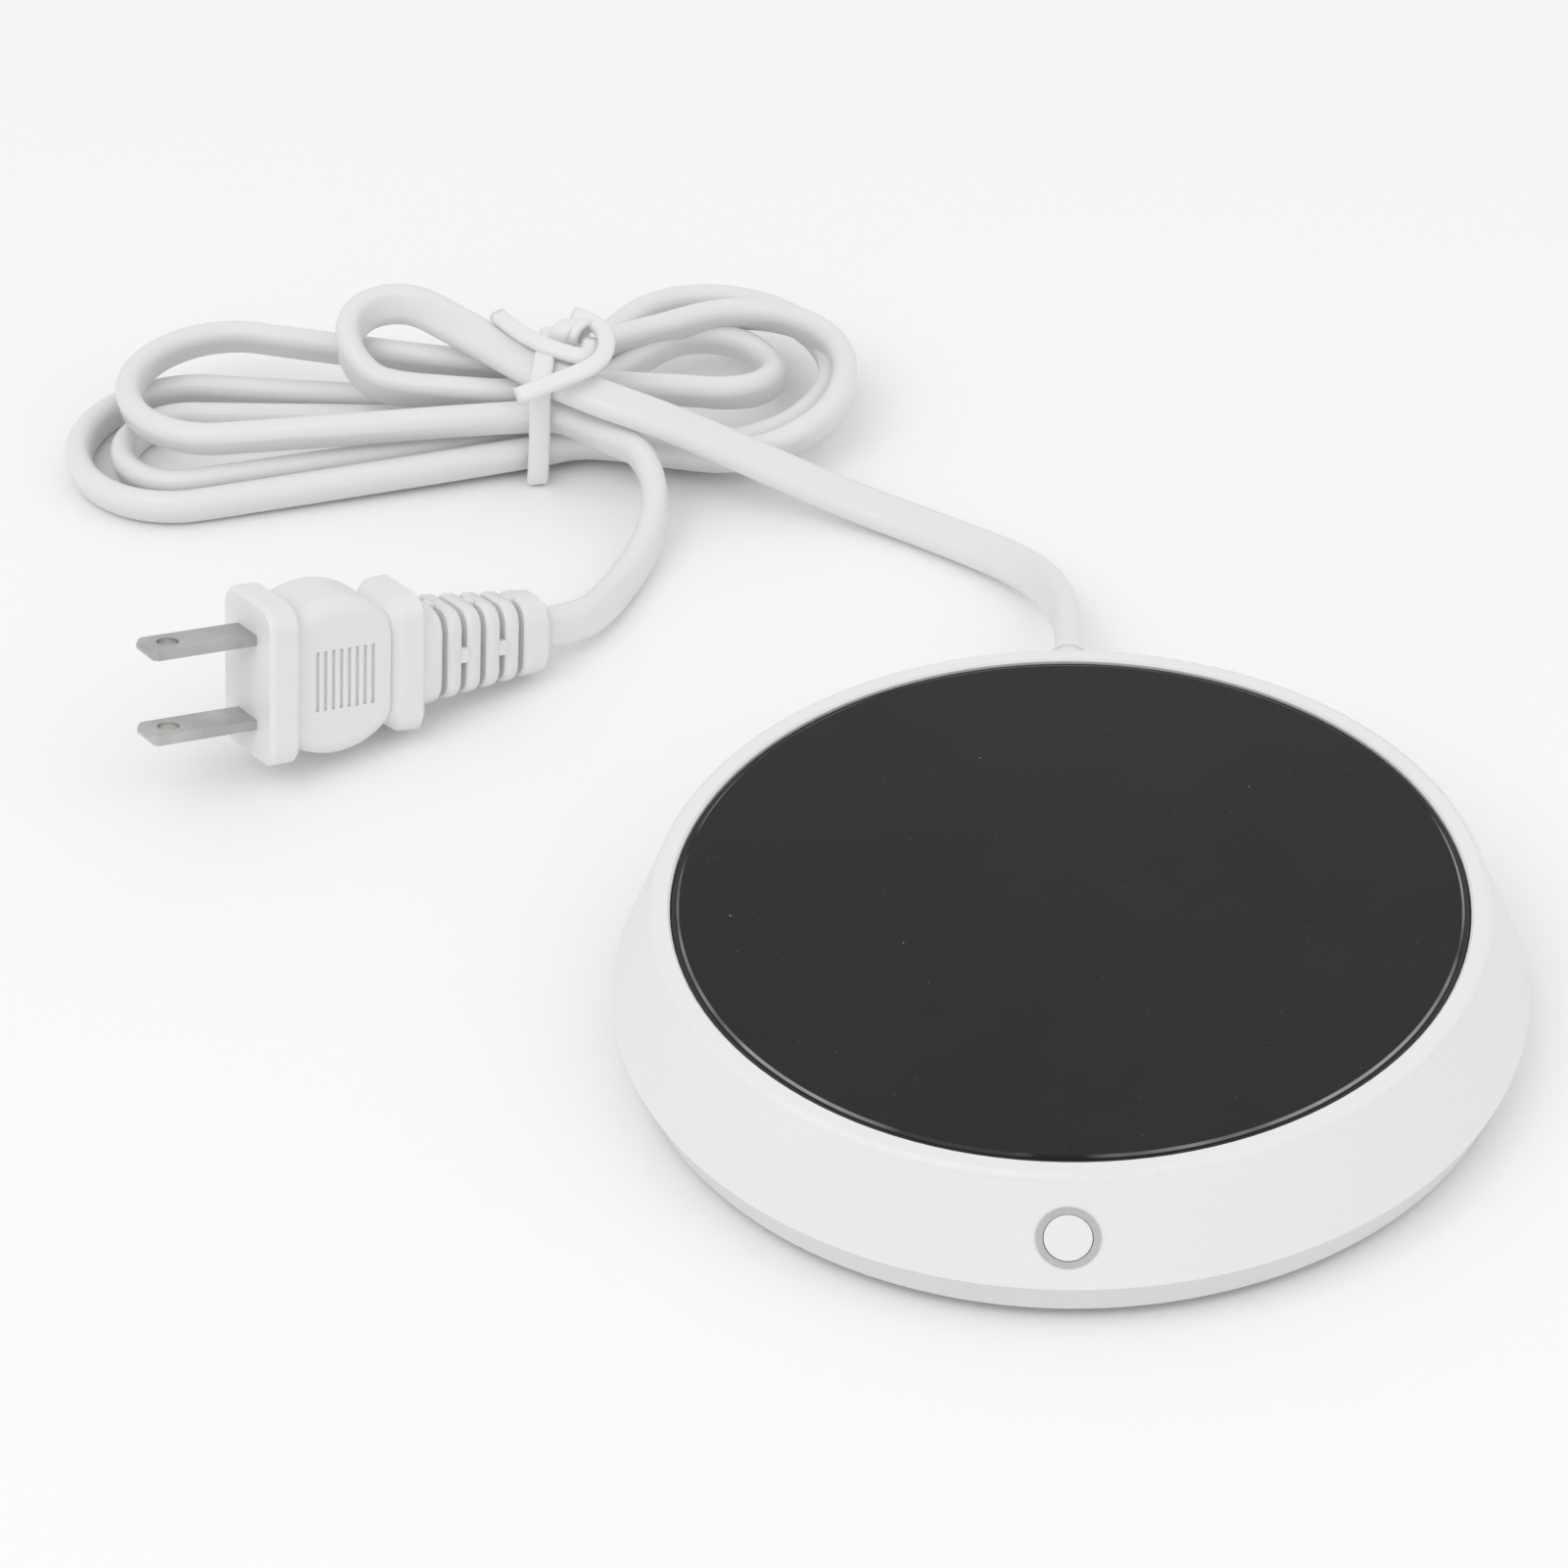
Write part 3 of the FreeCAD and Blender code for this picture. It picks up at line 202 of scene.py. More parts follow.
def plastic(name, colour, shade=0.96, rough=0.45, skin=3000.0, bump=0.12, dust=0.0, scatter=0.0, worn=0.3):
    """Moulded plastic: slow colour cloud, fine skin, edges a little polished and a few specks."""
    material, tree, shader = start_material(name)
    skin_node = use_group(tree, MOULDING, Scale=skin)
    wear = use_group(tree, WEAR, Amount=worn)
    darker = tuple(c * shade for c in colour)
    base = mix_colour(tree, skin_node.outputs["Cloud"], darker, colour)
    base = mix_colour(tree, wear.outputs["Mask"], base, tuple(min(1.0, c * 1.04) for c in colour))
    if dust:
        specks = use_group(tree, DUST, Scale=700.0, Size=0.10)
        dusted = math_node(tree, "MULTIPLY", specks.outputs["Mask"], dust)
        base = mix_colour(tree, dusted, base, (0.35, 0.33, 0.31))
    tree.links.new(base, shader.inputs["Base Color"])
    gloss = map_range(tree, skin_node.outputs["Cloud"], 0.0, 1.0, rough + 0.05, rough - 0.04)
    rubbed = math_node(tree, "MULTIPLY", wear.outputs["Mask"], 0.12)
    worn_gloss = math_node(tree, "SUBTRACT", gloss, rubbed, True)
    tree.links.new(worn_gloss, shader.inputs["Roughness"])
    shader.inputs["IOR"].default_value = 1.46
    if scatter:
        shader.inputs["Subsurface Weight"].default_value = scatter
        shader.inputs["Subsurface Radius"].default_value = (0.0012, 0.0011, 0.0010)
        shader.inputs["Subsurface Scale"].default_value = 1.0
    set_bump(tree, shader, skin_node.outputs["Height"], bump, 0.00005)
    return material


def metal(name, colour, rough=0.3, grain=(40.0, 1800.0, 1800.0), scratch=0.3, stain=0.85):
    """Rolled or plated metal: stretched grain, faint stains and fine scratches."""
    material, tree, shader = start_material(name)
    shader.inputs["Metallic"].default_value = 1.0
    where = tree.nodes.new("ShaderNodeTexCoord").outputs["Object"]
    stretch = tree.nodes.new("ShaderNodeMapping")
    stretch.inputs["Scale"].default_value = grain
    tree.links.new(where, stretch.inputs["Vector"])
    lines = noise(tree, 1.0, 3.0)
    tree.links.new(stretch.outputs["Vector"], lines.inputs["Vector"])
    cloud = noise(tree, 150.0, 4.0)
    tree.links.new(where, cloud.inputs["Vector"])
    stained = map_range(tree, cloud.outputs["Fac"], 0.40, 0.66)
    base = mix_colour(tree, stained, tuple(c * stain for c in colour), colour)
    tree.links.new(base, shader.inputs["Base Color"])
    both = math_node(tree, "MULTIPLY", lines.outputs["Fac"], 0.16)
    both = math_node(tree, "ADD", both, math_node(tree, "MULTIPLY", cloud.outputs["Fac"], 0.14))
    tree.links.new(math_node(tree, "ADD", both, rough - 0.12, True), shader.inputs["Roughness"])
    set_bump(tree, shader, lines.outputs["Fac"], scratch, 0.00002)
    return material


# Radius and width of the ring where a painted highlight runs along the glass plate's ground edge.
GLASS_EDGE_R = 51.45 * MM
GLASS_EDGE_W = 0.22 * MM


def painted_edge_highlight(tree):
    """A mask for a painted highlight along the plate's thin ground edge, broken up by a slow noise."""
    place = tree.nodes.new("ShaderNodeTexCoord").outputs["Object"]
    level = tree.nodes.new("ShaderNodeVectorMath")
    level.operation = "MULTIPLY"
    level.inputs[1].default_value = (1.0, 1.0, 0.0)
    tree.links.new(place, level.inputs[0])
    far = tree.nodes.new("ShaderNodeVectorMath")
    far.operation = "LENGTH"
    tree.links.new(level.outputs["Vector"], far.inputs[0])
    off = math_node(tree, "ABSOLUTE", math_node(tree, "SUBTRACT", far.outputs["Value"], GLASS_EDGE_R))
    line = map_range(tree, off, GLASS_EDGE_W, GLASS_EDGE_W * 0.4)
    # This noise breaks up the painted highlight along the edge.
    polish = noise(tree, 34.0, 3.0, 0.6)
    tree.links.new(place, polish.inputs["Vector"])
    return math_node(tree, "MULTIPLY", line, map_range(tree, polish.outputs["Fac"], 0.44, 0.62))


def black_glass():
    """Opaque black glass under a faint film of handling, with a few dust specks and a painted highlight
    along its edge.
    """
    material, tree, shader = start_material("black_glass")
    film = noise(tree, 26.0, 5.0, 0.6)
    tree.links.new(tree.nodes.new("ShaderNodeTexCoord").outputs["Object"], film.inputs["Vector"])
    smear = map_range(tree, film.outputs["Fac"], 0.42, 0.72)
    specks = use_group(tree, DUST, Scale=230.0, Size=0.035)
    fine = use_group(tree, DUST, Scale=620.0, Size=0.07)
    base = mix_colour(tree, smear, (0.006, 0.006, 0.0062), (0.009, 0.009, 0.0092))
    # Dust specks in grey, and last a painted highlight in lighter grey along the plate's edge.
    marks = ((specks.outputs["Mask"], 0.8, 0.30), (fine.outputs["Mask"], 0.25, 0.20),
             (painted_edge_highlight(tree), 0.6, 0.55))
    for mask, strength, grey in marks:
        base = mix_colour(tree, math_node(tree, "MULTIPLY", mask, strength), base, (grey, grey, grey))
    tree.links.new(base, shader.inputs["Base Color"])
    tree.links.new(map_range(tree, smear, 0.0, 1.0, 0.10, 0.17), shader.inputs["Roughness"])
    shader.inputs["IOR"].default_value = 1.50
    shader.inputs["Specular IOR Level"].default_value = 0.27
    set_bump(tree, shader, film.outputs["Fac"], 0.04, 0.00002)
    return material


def fibre(name, colour):
    """Pressed fibre pad."""
    material, tree, shader = start_material(name)
    where = tree.nodes.new("ShaderNodeTexCoord").outputs["Object"]
    hair = tree.nodes.new("ShaderNodeTexWave")
    hair.inputs["Scale"].default_value = 260.0
    hair.inputs["Distortion"].default_value = 14.0
    hair.inputs["Detail"].default_value = 4.0
    tree.links.new(where, hair.inputs["Vector"])
    base = mix_colour(tree, hair.outputs["Fac"], tuple(c * 0.86 for c in colour), colour)
    tree.links.new(base, shader.inputs["Base Color"])
    shader.inputs["Roughness"].default_value = 0.95
    set_bump(tree, shader, hair.outputs["Fac"], 0.5, 0.0002)
    return material


def circuit_board():
    """Green lacquer over copper tracks, with tinned pads."""
    material, tree, shader = start_material("circuit_board")
    where = tree.nodes.new("ShaderNodeTexCoord").outputs["Object"]
    tracks = tree.nodes.new("ShaderNodeTexBrick")
    tracks.inputs["Scale"].default_value = 160.0
    tracks.inputs["Mortar Size"].default_value = 0.03
    tree.links.new(where, tracks.inputs["Vector"])
    pads = tree.nodes.new("ShaderNodeTexVoronoi")
    pads.inputs["Scale"].default_value = 330.0
    tree.links.new(where, pads.inputs["Vector"])
    pad = math_node(tree, "LESS_THAN", pads.outputs["Distance"], 0.16)
    base = mix_colour(tree, tracks.outputs["Fac"], (0.02, 0.17, 0.07), (0.05, 0.30, 0.13))
    base = mix_colour(tree, pad, base, (0.62, 0.61, 0.58))
    tree.links.new(base, shader.inputs["Base Color"])
    tree.links.new(pad, shader.inputs["Metallic"])
    shader.inputs["Roughness"].default_value = 0.35
    set_bump(tree, shader, tracks.outputs["Fac"], 0.3, 0.00003)
    return material


def mica():
    """Mica carrier with the flat heating track wound over it in rings."""
    material, tree, shader = start_material("mica_track")
    where = tree.nodes.new("ShaderNodeTexCoord").outputs["Object"]
    rings = tree.nodes.new("ShaderNodeTexWave")
    rings.wave_type = "RINGS"
    rings.rings_direction = "Z"
    rings.inputs["Scale"].default_value = 40.0
    tree.links.new(where, rings.inputs["Vector"])
    track = math_node(tree, "GREATER_THAN", rings.outputs["Fac"], 0.62)
    flakes = noise(tree, 240.0, 4.0)
    tree.links.new(where, flakes.inputs["Vector"])
    base = mix_colour(tree, flakes.outputs["Fac"], (0.42, 0.33, 0.20), (0.66, 0.56, 0.40))
    base = mix_colour(tree, track, base, (0.50, 0.49, 0.47))
    tree.links.new(base, shader.inputs["Base Color"])
    tree.links.new(track, shader.inputs["Metallic"])
    shader.inputs["Roughness"].default_value = 0.4
    set_bump(tree, shader, track, 0.4, 0.0001)
    return material


WHITE = (0.80, 0.80, 0.80)
CORD_WHITE = (0.78, 0.78, 0.785)


def paint_nodes():
    """One material for each CAD node that is shown as it is."""
    housing = plastic("housing_white", WHITE, 0.985, 0.42, dust=0.18)
    lower = plastic("base_white", (0.74, 0.74, 0.74), 0.98, 0.5)
    rubber = plastic("rubber_black", (0.035, 0.035, 0.036), 0.8, 0.75, 1400.0, 0.3, worn=0.1)
    silicone = plastic("silicone_black", (0.022, 0.022, 0.023), 0.8, 0.6, 1600.0, 0.2, worn=0.1)
    steel = metal("screw_steel", (0.60, 0.60, 0.60))
    sheet = metal("plate_steel", (0.58, 0.58, 0.58), 0.35, (500.0, 20.0, 500.0))
    board = circuit_board()
    black = plastic("component_black", (0.03, 0.03, 0.032), 0.8, 0.5, worn=0.2)
    plug = plastic("plug_white", CORD_WHITE, 0.985, 0.40, 2200.0, 0.1, dust=0.1, scatter=0.15)
    wire = plastic("wire_white", (0.72, 0.72, 0.70), 0.95, 0.4)
    finishes = {
        "upper_housing": housing, "base_cover": lower, "cord_clamp": lower, "rubber_feet": rubber,
        "case_screws": steel, "plate_screws": steel, "board_screws": steel, "clamp_screws": steel,
        "pressure_plate": sheet, "heating_glass": black_glass(), "glass_seal": silicone,
        "power_button": plastic("button_white", (0.82, 0.82, 0.82), 0.985, 0.32, 3600.0, 0.06),
        "button_ring": plastic("ring_grey", (0.50, 0.50, 0.505), 0.94, 0.30, 3600.0, 0.05, scatter=0.2),
        "tact_switch": black, "board_components": black, "button_board": board, "control_board": board,
        "heat_spreader": metal("spreader_aluminium", (0.78, 0.78, 0.79), 0.32, (30.0, 700.0, 700.0)),
        "heater_element": mica(), "insulation_pad": fibre("ceramic_fibre", (0.82, 0.81, 0.76)),
        "temperature_sensor": plastic("sensor_epoxy", (0.05, 0.03, 0.02), 0.7, 0.25),
        "thermal_fuse": metal("fuse_case", (0.72, 0.70, 0.66), 0.3),
        "cord_bushing": plug, "cord_inner": plug, "mains_leads": wire, "heater_leads": wire,
        "plug_body": plug, "plug_boot": plug,
        "plug_blades": metal("blade_nickel", (0.60, 0.595, 0.58), 0.34, (900.0, 60.0, 900.0), 0.35, 0.80),
    }
    for node, material in finishes.items():
        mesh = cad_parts[node].data
        mesh.materials.clear()
        mesh.materials.append(material)


# Cord: one flat two-core lead from the bushing through the hank to the plug.

CORD_W = 6.4 * MM
CORD_T = 3.9 * MM
MOUTH = (0.0, 69.26, 8.6)

LEAD_POINTS = [
    (0.0, 78.0, 8.6), (-1.0, 87.0, 6.4), (-5.3, 99.0, 4.2), (-19.3, 110.6, 3.4), (-33.7, 118.3, 4.4),
    (-47.9, 121.8, 9.5), (-62.0, 123.6, 15.6), (-72.7, 126.2, 18.3), (-81.5, 132.6, 18.4),
    (-90.0, 140.4, 18.4), (-96.5, 146.2, 18.3), (-102.7, 151.8, 18.2), (-108.4, 151.7, 18.2),
    (-112.4, 148.0, 17.8), (-112.8, 141.9, 15.7), (-108.7, 137.68, 12.4)]

TAIL_POINTS = [
    (-65.4, 121.9, 10.1), (-62.4, 115.0, 6.8), (-63.3, 106.6, 4.3), (-66.0, 98.4, 3.5), (-68.8, 90.6, 3.9)]

BOOT_END = (-77.77, 80.00, 6.50)
OUT_OF_BOOT = (0.8265, 0.5265, -0.1994)

WAIST = Vector((-82.0, 138.5, 0.0))
WAIST_HEADING = 24.0
HANK_IN = Vector((-103.3, 137.3, 11.4))
HANK_IN_HEADING = -4.0
HANK_OUT = Vector((-74.7, 128.4, 10.2))
HANK_OUT_HEADING = -35.0
LAST_HEADING = -14.0
HANK_END = 6.4
PITCH = 4.7
LAYER = 6.9
LOW = 3.3
WAIST_LIFT = 1.0
WAIST_RUN = 4.0
LAST_RUN = 0.6
BOOT_RUN = 7.0
FRONT_SLOTS = [(-0.3, 1), (-0.5, 0), (-1.5, 0), (-2.1, 1)]
BACK_SLOTS = [(0.5, 0), (1.5, 0), (1.5, 1)]
# Loops as centre x, y, radius, and layers up at their front, end and back.
RIGHT_LOOPS = [
    (-57.0, 149.4, 10.4, 1.0, 0.3, 0.6),
    (-55.0, 150.6, 17.4, 0, 0.4, 1.0),
    (-51.5, 144.0, 16.5, 0.2, 1.0, 1.1)]
LEFT_LOOPS = [
    (-138.0, 132.0, 9.6, 0, 0, 0),
    (-138.2, 133.2, 16.6, 0, 0, 0),
    (-132.4, 139.9, 14.8, 1, 1, 1)]
LOOP_POINTS = 7


def heading(degrees):
    return Vector((math.cos(math.radians(degrees)), math.sin(math.radians(degrees)), 0.0))


ALONG = heading(WAIST_HEADING)
SIDE = heading(WAIST_HEADING + 90.0)


def through_waist(slot, way, beyond=WAIST_RUN):
    """Two control points, so that the line runs straight through the tie at its place."""
    place = WAIST + SIDE * (slot[0] * PITCH) + Vector((0, 0, LOW + WAIST_LIFT + slot[1] * LAYER))
    return [place - way * WAIST_RUN, place + way * beyond]


def round_loop(loop, end, come, go):
    """Control points round a loop that the runs from come and to go touch without a bend.

    end is 1 for a right loop, passed from its front to its back, and -1 for a left one.
    """
    x, y, r, front, tip, back = loop

    def touch(place, side):
        far = math.hypot(place.x - x, place.y - y)
        return math.atan2(place.y - y, place.x - x) + side * math.acos(r / far)

    first = touch(come, 1)
    swing = (touch(go, -1) - first) % (2 * math.pi)
    step = swing / LOOP_POINTS
    straight = r * math.tan(step / 2)

    def control(angle, reach, ahead, share):
        part = end * (2 * share - 1)
        layer = tip + (back - tip) * part if part > 0 else tip + (front - tip) * -part
        return Vector((x + reach * math.cos(angle) - ahead * math.sin(angle),
                       y + reach * math.sin(angle) + ahead * math.cos(angle), LOW + layer * LAYER))

    points = [control(first, r, -straight, 0.0)]
    for i in range(LOOP_POINTS):
        share = (i + 0.5) / LOOP_POINTS
        points.append(control(first + share * swing, r / math.cos(step / 2), 0.0, share))
    return points + [control(first + swing, r, straight, 1.0)]


def hank_points():
    way_in = heading(HANK_IN_HEADING)
    way_out = heading(HANK_OUT_HEADING)
    front = [through_waist(slot, ALONG) for slot in FRONT_SLOTS[:-1]]
    front.append(through_waist(FRONT_SLOTS[-1], heading(LAST_HEADING), LAST_RUN))
    back = [through_waist(slot, -ALONG) for slot in BACK_SLOTS]
    points = [HANK_IN, HANK_IN + way_in * HANK_END] + front[0]
    for turn, (right, left) in enumerate(zip(RIGHT_LOOPS, LEFT_LOOPS)):
        points += round_loop(right, 1, front[turn][1], back[turn][0]) + back[turn]
        points += round_loop(left, -1, back[turn][1], front[turn + 1][0]) + front[turn + 1]
    return points + [HANK_OUT, HANK_OUT + way_out * HANK_END]


# Lie of the flat cord: degrees from on edge, at distances in metres from the bushing.
LIE = [(0.0, 0.0), (0.010, 0.0), (0.030, 40.0), (0.050, 68.0), (0.118, 76.0), (0.142, 38.0), (0.162, 0.0)]
HANK_LEAN = 30.0
SETTLE = 0.02
TAIL_START = 0.060
PLUG_ROLL = 12.0
CURVE_STEPS = 8
CORD_POINTS = 20
CORD_HOLLOW = 0.93


def lie_at(distance, total, ahead):
    """Lean of the section from on edge, in radians: flat in the lead, tilted to the front in the hank."""
    for (d0, a0), (d1, a1) in zip(LIE, LIE[1:]):
        if distance <= d1:
            return math.radians(a0 + (a1 - a0) * (distance - d0) / (d1 - d0))
    settled = min(1.0, (distance - LIE[-1][0]) / SETTLE)
    near_plug = max(0.0, 1.0 - (total - distance) / TAIL_START)
    lean = HANK_LEAN * ahead.x * settled * (1.0 - near_plug) + PLUG_ROLL * near_plug
    return math.radians(lean)


def oval(width, thickness, points, waist=1.0):
    """Outline of a flat strip with round edges; waist under 1 hollows its flats."""
    r = thickness / 2
    half = width / 2 - r
    outline = []
    for i in range(points):
        a = 2 * math.pi * (i + 0.5) / points
        outline.append((r * math.cos(a), math.copysign(half, math.sin(a)) + r * math.sin(a)))
    if half > 0 and waist < 1.0:
        outline.insert(points // 2, (-r * waist, 0.0))
        outline.append((r * waist, 0.0))
    return outline


def nurbs_line(points, closed=False):
    """Points in metres along a quadratic NURBS through the given control points in millimetres."""
    curve = bpy.data.curves.new("route", "CURVE")
    curve.dimensions = "3D"
    spline = curve.splines.new("NURBS")
    spline.points.add(len(points) - 1)
    for point, place in zip(spline.points, points):
        point.co = (*(Vector(place) * MM), 1.0)
    spline.order_u = 3
    spline.use_endpoint_u = not closed
    spline.use_cyclic_u = closed
    spline.resolution_u = CURVE_STEPS
    carrier = bpy.data.objects.new("route", curve)
    bpy.context.scene.collection.objects.link(carrier)
    bpy.context.view_layer.update()
    mesh = bpy.data.meshes.new_from_object(carrier)
    line = [v.co.copy() for v in mesh.vertices]
    bpy.data.objects.remove(carrier)
    bpy.data.meshes.remove(mesh)
    return line


def skin(mesh, rings, closed=False):
    """Faces from each ring of corners to the next, with end faces unless the rings close up."""
    count = len(rings[0])
    pairs = list(zip(rings, rings[1:])) + ([(rings[-1], rings[0])] if closed else [])
    for one, two in pairs:
        for i in range(count):
            j = (i + 1) % count
            mesh.faces.new((one[i], one[j], two[j], two[i]))
    if not closed:
        mesh.faces.new(rings[0][::-1])
        mesh.faces.new(rings[-1])


def smooth_data(mesh, name):
    data = bpy.data.meshes.new(name)
    mesh.to_mesh(data)
    mesh.free()
    for face in data.polygons:
        face.use_smooth = True
    return data


def sweep(name, line, outline, wide_way, closed=False):
    """A mesh tube of the outline along line; wide_way gives the way of its width at each point."""
    mesh = bmesh.new()
    rings = []
    last = len(line) - 1
    for i, place in enumerate(line):
        one = line[i - 1] if i or closed else place
        two = line[(i + 1) % len(line)] if i < last or closed else place
        ahead = (two - one).normalized()
        wide = wide_way(i, ahead)
        wide = (wide - ahead * wide.dot(ahead)).normalized()
        thin = ahead.cross(wide)
        rings.append([mesh.verts.new(place + thin * a + wide * b) for a, b in outline])
    skin(mesh, rings, closed)
    bmesh.ops.recalc_face_normals(mesh, faces=mesh.faces)
    return smooth_data(mesh, name)


def add_piece(name, data, material):
    piece = bpy.data.objects.new(name, data)
    bpy.context.scene.collection.objects.link(piece)
    piece.data.materials.append(material)
    return piece


def cord_line():
    """The lead's whole route from the bushing through the hank to the boot."""
    end = Vector(BOOT_END)
    route = [MOUTH] + LEAD_POINTS + hank_points() + TAIL_POINTS
    return nurbs_line(route + [end + Vector(OUT_OF_BOOT) * BOOT_RUN, end])


def mains_cord(material):
    line = cord_line()
    along = [0.0]
    for a, b in zip(line, line[1:]):
        along.append(along[-1] + (b - a).length)
    total = along[-1]

    def wide_way(i, ahead):
        across = ahead.cross(Vector((0, 0, 1))).normalized()
        lean = lie_at(along[i], total, ahead)
        return across.cross(ahead) * math.cos(lean) + across * math.sin(lean)

    # Where the cord lies flat its middle lies lower than on edge.
    for i, place in enumerate(line):
        if 0.0 < along[i] < LIE[-1][0]:
            ahead = (line[i + 1] - line[i - 1]).normalized()
            place.z -= (CORD_W - CORD_T) / 2 * (1.0 - math.cos(lie_at(along[i], total, ahead)))
    tube = sweep("mains_cord", line, oval(CORD_W, CORD_T, CORD_POINTS, CORD_HOLLOW), wide_way)
    piece = add_piece("mains_cord", tube, material)
    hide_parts("cord_lead", "cord_hank", "cord_tail")
    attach(piece, WARMER)


# Boot: a slotted strain relief of chunky rings, on the plug's own axis.

BOOT_LONG = 22.0
BOOT_BIG = (12.4, 14.6)
BOOT_SMALL = (9.0, 11.2)
BOOT_CORE = 2.0
RING_LONG = 2.3
RING_SLOT = 0.95
RING_COUNT = 5
COLLAR_LONG = 3.2
BRIDGE_W = 2.2
BRIDGE_SUNK = 0.12
SOFT_EDGE = 0.45
END_EDGE = 1.1
SHARP_ANGLE = 40.0
CORNER_STEPS = 4
CORE_INSET = 1.0
# Corner radii of the collar, the core, a ring and the last ring's end.
COLLAR_ROUND = 3.2
COLLAR_EDGE = 2.8
CORE_BIG = 1.8
CORE_SMALL = 1.6
RING_ROUND = 3.0
RING_EDGE = 2.6
END_ROUND = 2.4


def boot_section(at, cut, round_off):
    """Outline of the boot's section at a distance from its big end, less a depth."""
    share = min(1.0, max(0.0, at / BOOT_LONG))
    wide, tall = ((a + (b - a) * share) / 2 - cut for a, b in zip(BOOT_BIG, BOOT_SMALL))
    r = min(round_off, wide * 0.95, tall * 0.95)
    outline = []
    for quarter, (y, z) in enumerate(((1, 1), (-1, 1), (-1, -1), (1, -1))):
        for i in range(CORNER_STEPS + 1):
            a = math.radians(90.0 * (quarter + i / CORNER_STEPS))
            outline.append((y * (wide - r) + r * math.cos(a), z * (tall - r) + r * math.sin(a)))
    return outline


def boot_block(mesh, stations, place):
    """A closed solid through sections, each a distance, a depth and a corner radius."""
    skin(mesh, [[mesh.verts.new(place @ Vector((-at, y, z))) for y, z in boot_section(at, cut, r)]
                for at, cut, r in stations])


def bridge(mesh, x0, x1, half_y, half_z, place):
    skin(mesh, [[mesh.verts.new(place @ Vector((-x, y * half_y, z * half_z)))
                 for y, z in ((1, 1), (-1, 1), (-1, -1), (1, -1))] for x in (x0, x1)])


def plug_boot(material):
    ahead = -Vector(OUT_OF_BOOT)
    level = Vector((0, 0, 1)).cross(ahead).normalized()
    steep = ahead.cross(level)
    roll = math.radians(PLUG_ROLL)
    across = level * math.cos(roll) + steep * math.sin(roll)
    up = steep * math.cos(roll) - level * math.sin(roll)
    start = Vector(BOOT_END) + ahead * BOOT_LONG
    turn = Matrix((ahead, across, up)).transposed()
    place = Matrix.Scale(MM, 4) @ Matrix.Translation(start) @ turn.to_4x4()
    mesh = bmesh.new()
    boot_block(mesh, [(0.0, 0.0, COLLAR_ROUND), (COLLAR_LONG - SOFT_EDGE, 0.0, COLLAR_ROUND),
                      (COLLAR_LONG, SOFT_EDGE, COLLAR_EDGE)], place)
    boot_block(mesh, [(COLLAR_LONG - CORE_INSET, BOOT_CORE, CORE_BIG),
                      (BOOT_LONG - CORE_INSET, BOOT_CORE, CORE_SMALL)], place)
    x = COLLAR_LONG
    for i in range(RING_COUNT):
        near = x + RING_SLOT
        last = i == RING_COUNT - 1
        far = BOOT_LONG if last else near + RING_LONG
        end_cut = END_EDGE if last else SOFT_EDGE
        boot_block(mesh, [(near, SOFT_EDGE, RING_EDGE), (near + SOFT_EDGE, 0.0, RING_ROUND),
                          (far - end_cut, 0.0, RING_ROUND), (far, end_cut, END_ROUND)], place)
        wide, tall = boot_section(near, BRIDGE_SUNK, 0.0)[0]
        half_y, half_z = (wide, BRIDGE_W / 2) if i % 2 else (BRIDGE_W / 2, tall)
        bridge(mesh, x - SOFT_EDGE, near + SOFT_EDGE, half_y, half_z, place)
        x = far
    bmesh.ops.recalc_face_normals(mesh, faces=mesh.faces)
    data = smooth_data(mesh, "slotted_boot")
    data.set_sharp_from_angle(angle=math.radians(SHARP_ANGLE))
    piece = add_piece("slotted_boot", data, material)
    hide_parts("plug_boot")
    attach(piece, WARMER)
    return piece


# Tie: a flat plastic tie round the waist, knotted on top, with two free ends.

TIE_W = 3.3
TIE_T = 1.4
TIE_POINTS = 14
FREE_W = TIE_W * 0.85
FREE_T = 1.8
BAND = [
    (-80.9, 126.2, 18.2), (-81.6, 126.2, 8.0), (-82.4, 126.6, 0.9), (-82.6, 129.5, 0.65),
    (-82.6, 147.0, 0.65), (-82.4, 150.3, 1.0), (-81.8, 150.3, 14.0), (-81.2, 147.5, 15.8),
    (-80.6, 139.5, 19.9), (-80.7, 128.0, 20.2)]
KNOT = Vector((-76.6, 138.6, 20.6))
KNOT_POINTS = 15
KNOT_STEP = 40.0
KNOT_SIZE = (1.265, 1.6, 2.1)
KNOT_START = 1.1
KNOT_DRIFT = -0.16
FREE_ONE = [
    (-73.8, 136.5, 20.6), (-73.4, 131.2, 20.9), (-77.7, 132.6, 21.2), (-82.5, 135.7, 21.3),
    (-86.0, 139.2, 21.4), (-88.8, 143.3, 21.2)]
FREE_TWO = [
    (-76.8, 141.5, 22.4), (-72.6, 140.0, 22.0), (-70.8, 134.5, 21.6), (-71.8, 128.4, 21.8),
    (-77.0, 124.4, 21.6), (-84.0, 121.6, 20.2)]


def join_meshes(name, meshes):
    mesh = bmesh.new()
    for part in meshes:
        mesh.from_mesh(part)
        bpy.data.meshes.remove(part)
    return smooth_data(mesh, name)


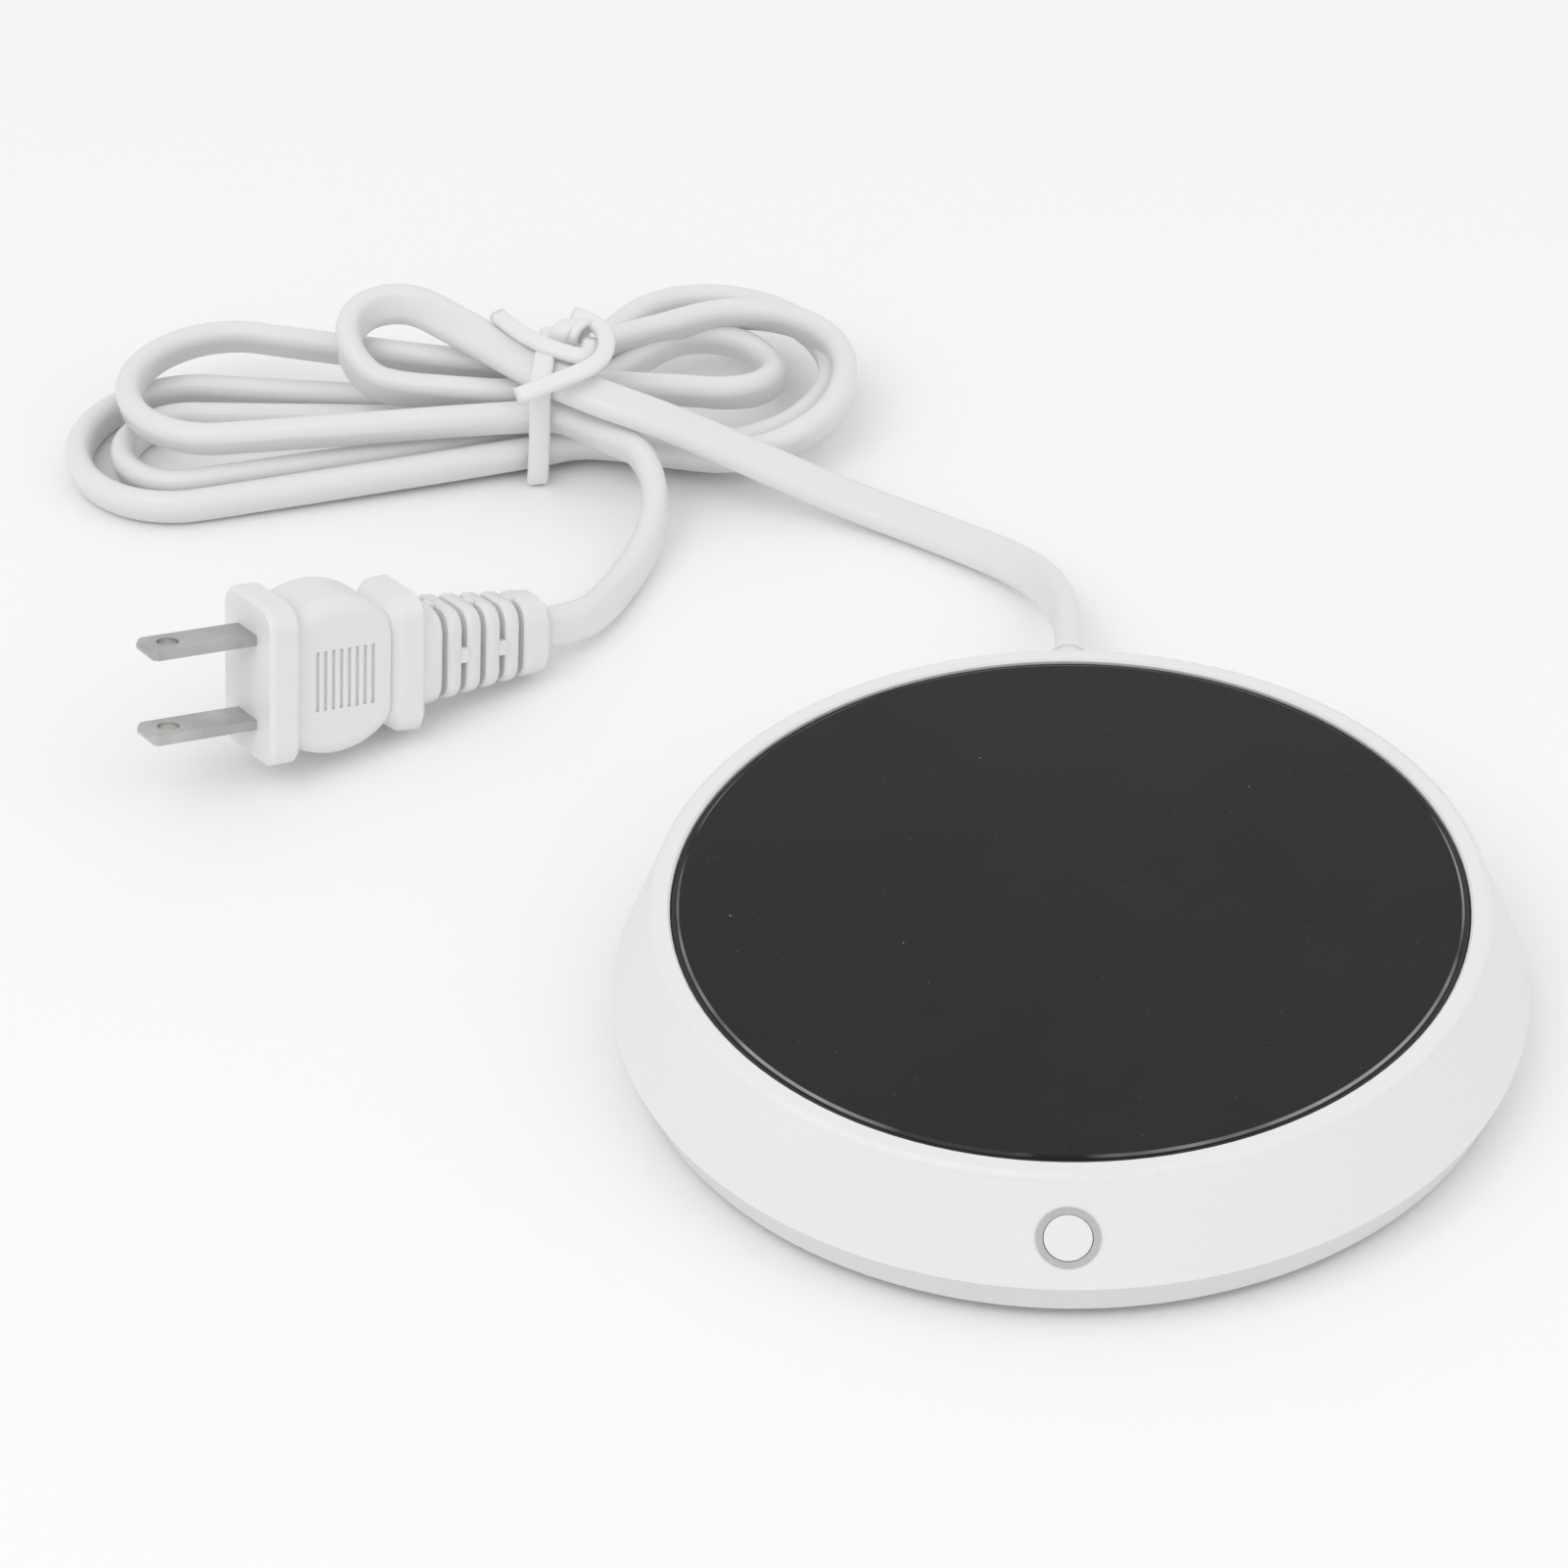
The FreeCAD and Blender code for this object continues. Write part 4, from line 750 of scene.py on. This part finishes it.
def plastic_tie(material):
    def band_way(i, ahead):
        return Vector((1.0, 0.12, 0.05))

    def knot_way(i, ahead):
        return Vector((1.0, -0.3, 0.2))

    def free_way(i, ahead):
        return ahead.cross(Vector((0.2, -0.5, 1.0)))

    strip = oval(TIE_W * MM, TIE_T * MM, TIE_POINTS)
    free_strip = oval(FREE_W * MM, FREE_T * MM, TIE_POINTS)
    wide, deep, tall = KNOT_SIZE
    coil = []
    for i in range(KNOT_POINTS):
        a = math.radians(KNOT_STEP * i)
        coil.append(KNOT + Vector((wide * math.cos(a) + KNOT_DRIFT * i + KNOT_START,
                                   deep * math.cos(a), tall * math.sin(a))))
    parts = [sweep("band", nurbs_line(BAND, closed=True), strip, band_way, closed=True),
             sweep("knot", nurbs_line(coil), strip, knot_way)]
    parts += [sweep("end", nurbs_line(points), free_strip, free_way) for points in (FREE_ONE, FREE_TWO)]
    piece = add_piece("plastic_tie", join_meshes("plastic_tie", parts), material)
    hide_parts("cord_tie")
    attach(piece, WARMER)
    return piece


# Studio

FLOOR_HALF = 3.0
WORLD_LIGHT = 0.82
LAMP_AIM = Vector((-0.03, 0.05, 0.0))
# Name, place, size and power of each lamp.
LAMPS = [("key", (-0.5, -0.5, 1.0), 0.9, 3.2), ("fill", (0.7, -0.3, 0.8), 0.9, 1.2)]


def studio():
    """Pale floor, even white surroundings and a soft light from above."""
    data = bpy.data.meshes.new("floor")
    half = FLOOR_HALF
    corners = [(-half, -half, 0), (half, -half, 0), (half, half, 0), (-half, half, 0)]
    data.from_pydata(corners, [], [(0, 1, 2, 3)])
    floor = bpy.data.objects.new("floor", data)
    bpy.context.scene.collection.objects.link(floor)
    material, _, shader = start_material("floor_pale")
    shader.inputs["Base Color"].default_value = (0.93, 0.93, 0.93, 1.0)
    shader.inputs["Roughness"].default_value = 0.9
    shader.inputs["Specular IOR Level"].default_value = 0.1
    data.materials.append(material)
    world = bpy.data.worlds.new("studio")
    bpy.context.scene.world = world
    world.use_nodes = True
    backdrop = world.node_tree.nodes["Background"]
    backdrop.inputs["Color"].default_value = (1.0, 1.0, 1.0, 1.0)
    backdrop.inputs["Strength"].default_value = WORLD_LIGHT
    for name, place, size, power in LAMPS:
        lamp = bpy.data.lights.new(name, "AREA")
        lamp.size = size
        lamp.energy = power
        holder = bpy.data.objects.new(name, lamp)
        holder.location = place
        holder.rotation_mode = "QUATERNION"
        holder.rotation_quaternion = (LAMP_AIM - Vector(place)).to_track_quat("-Z", "Y")
        bpy.context.scene.collection.objects.link(holder)
    bpy.context.scene.view_settings.view_transform = "Standard"


photo_camera()
paint_nodes()
tie = plastic_tie(plastic("tie_white", (0.82, 0.82, 0.82), 0.98, 0.3, 2500.0, 0.05))
boot = plug_boot(plastic("boot_white", CORD_WHITE, 0.985, 0.40, 2200.0, 0.1, dust=0.1, scatter=0.15))
mains_cord(plastic("cord_white", CORD_WHITE, 0.985, 0.36, 1500.0, 0.08, dust=0.1, scatter=0.1))
studio()
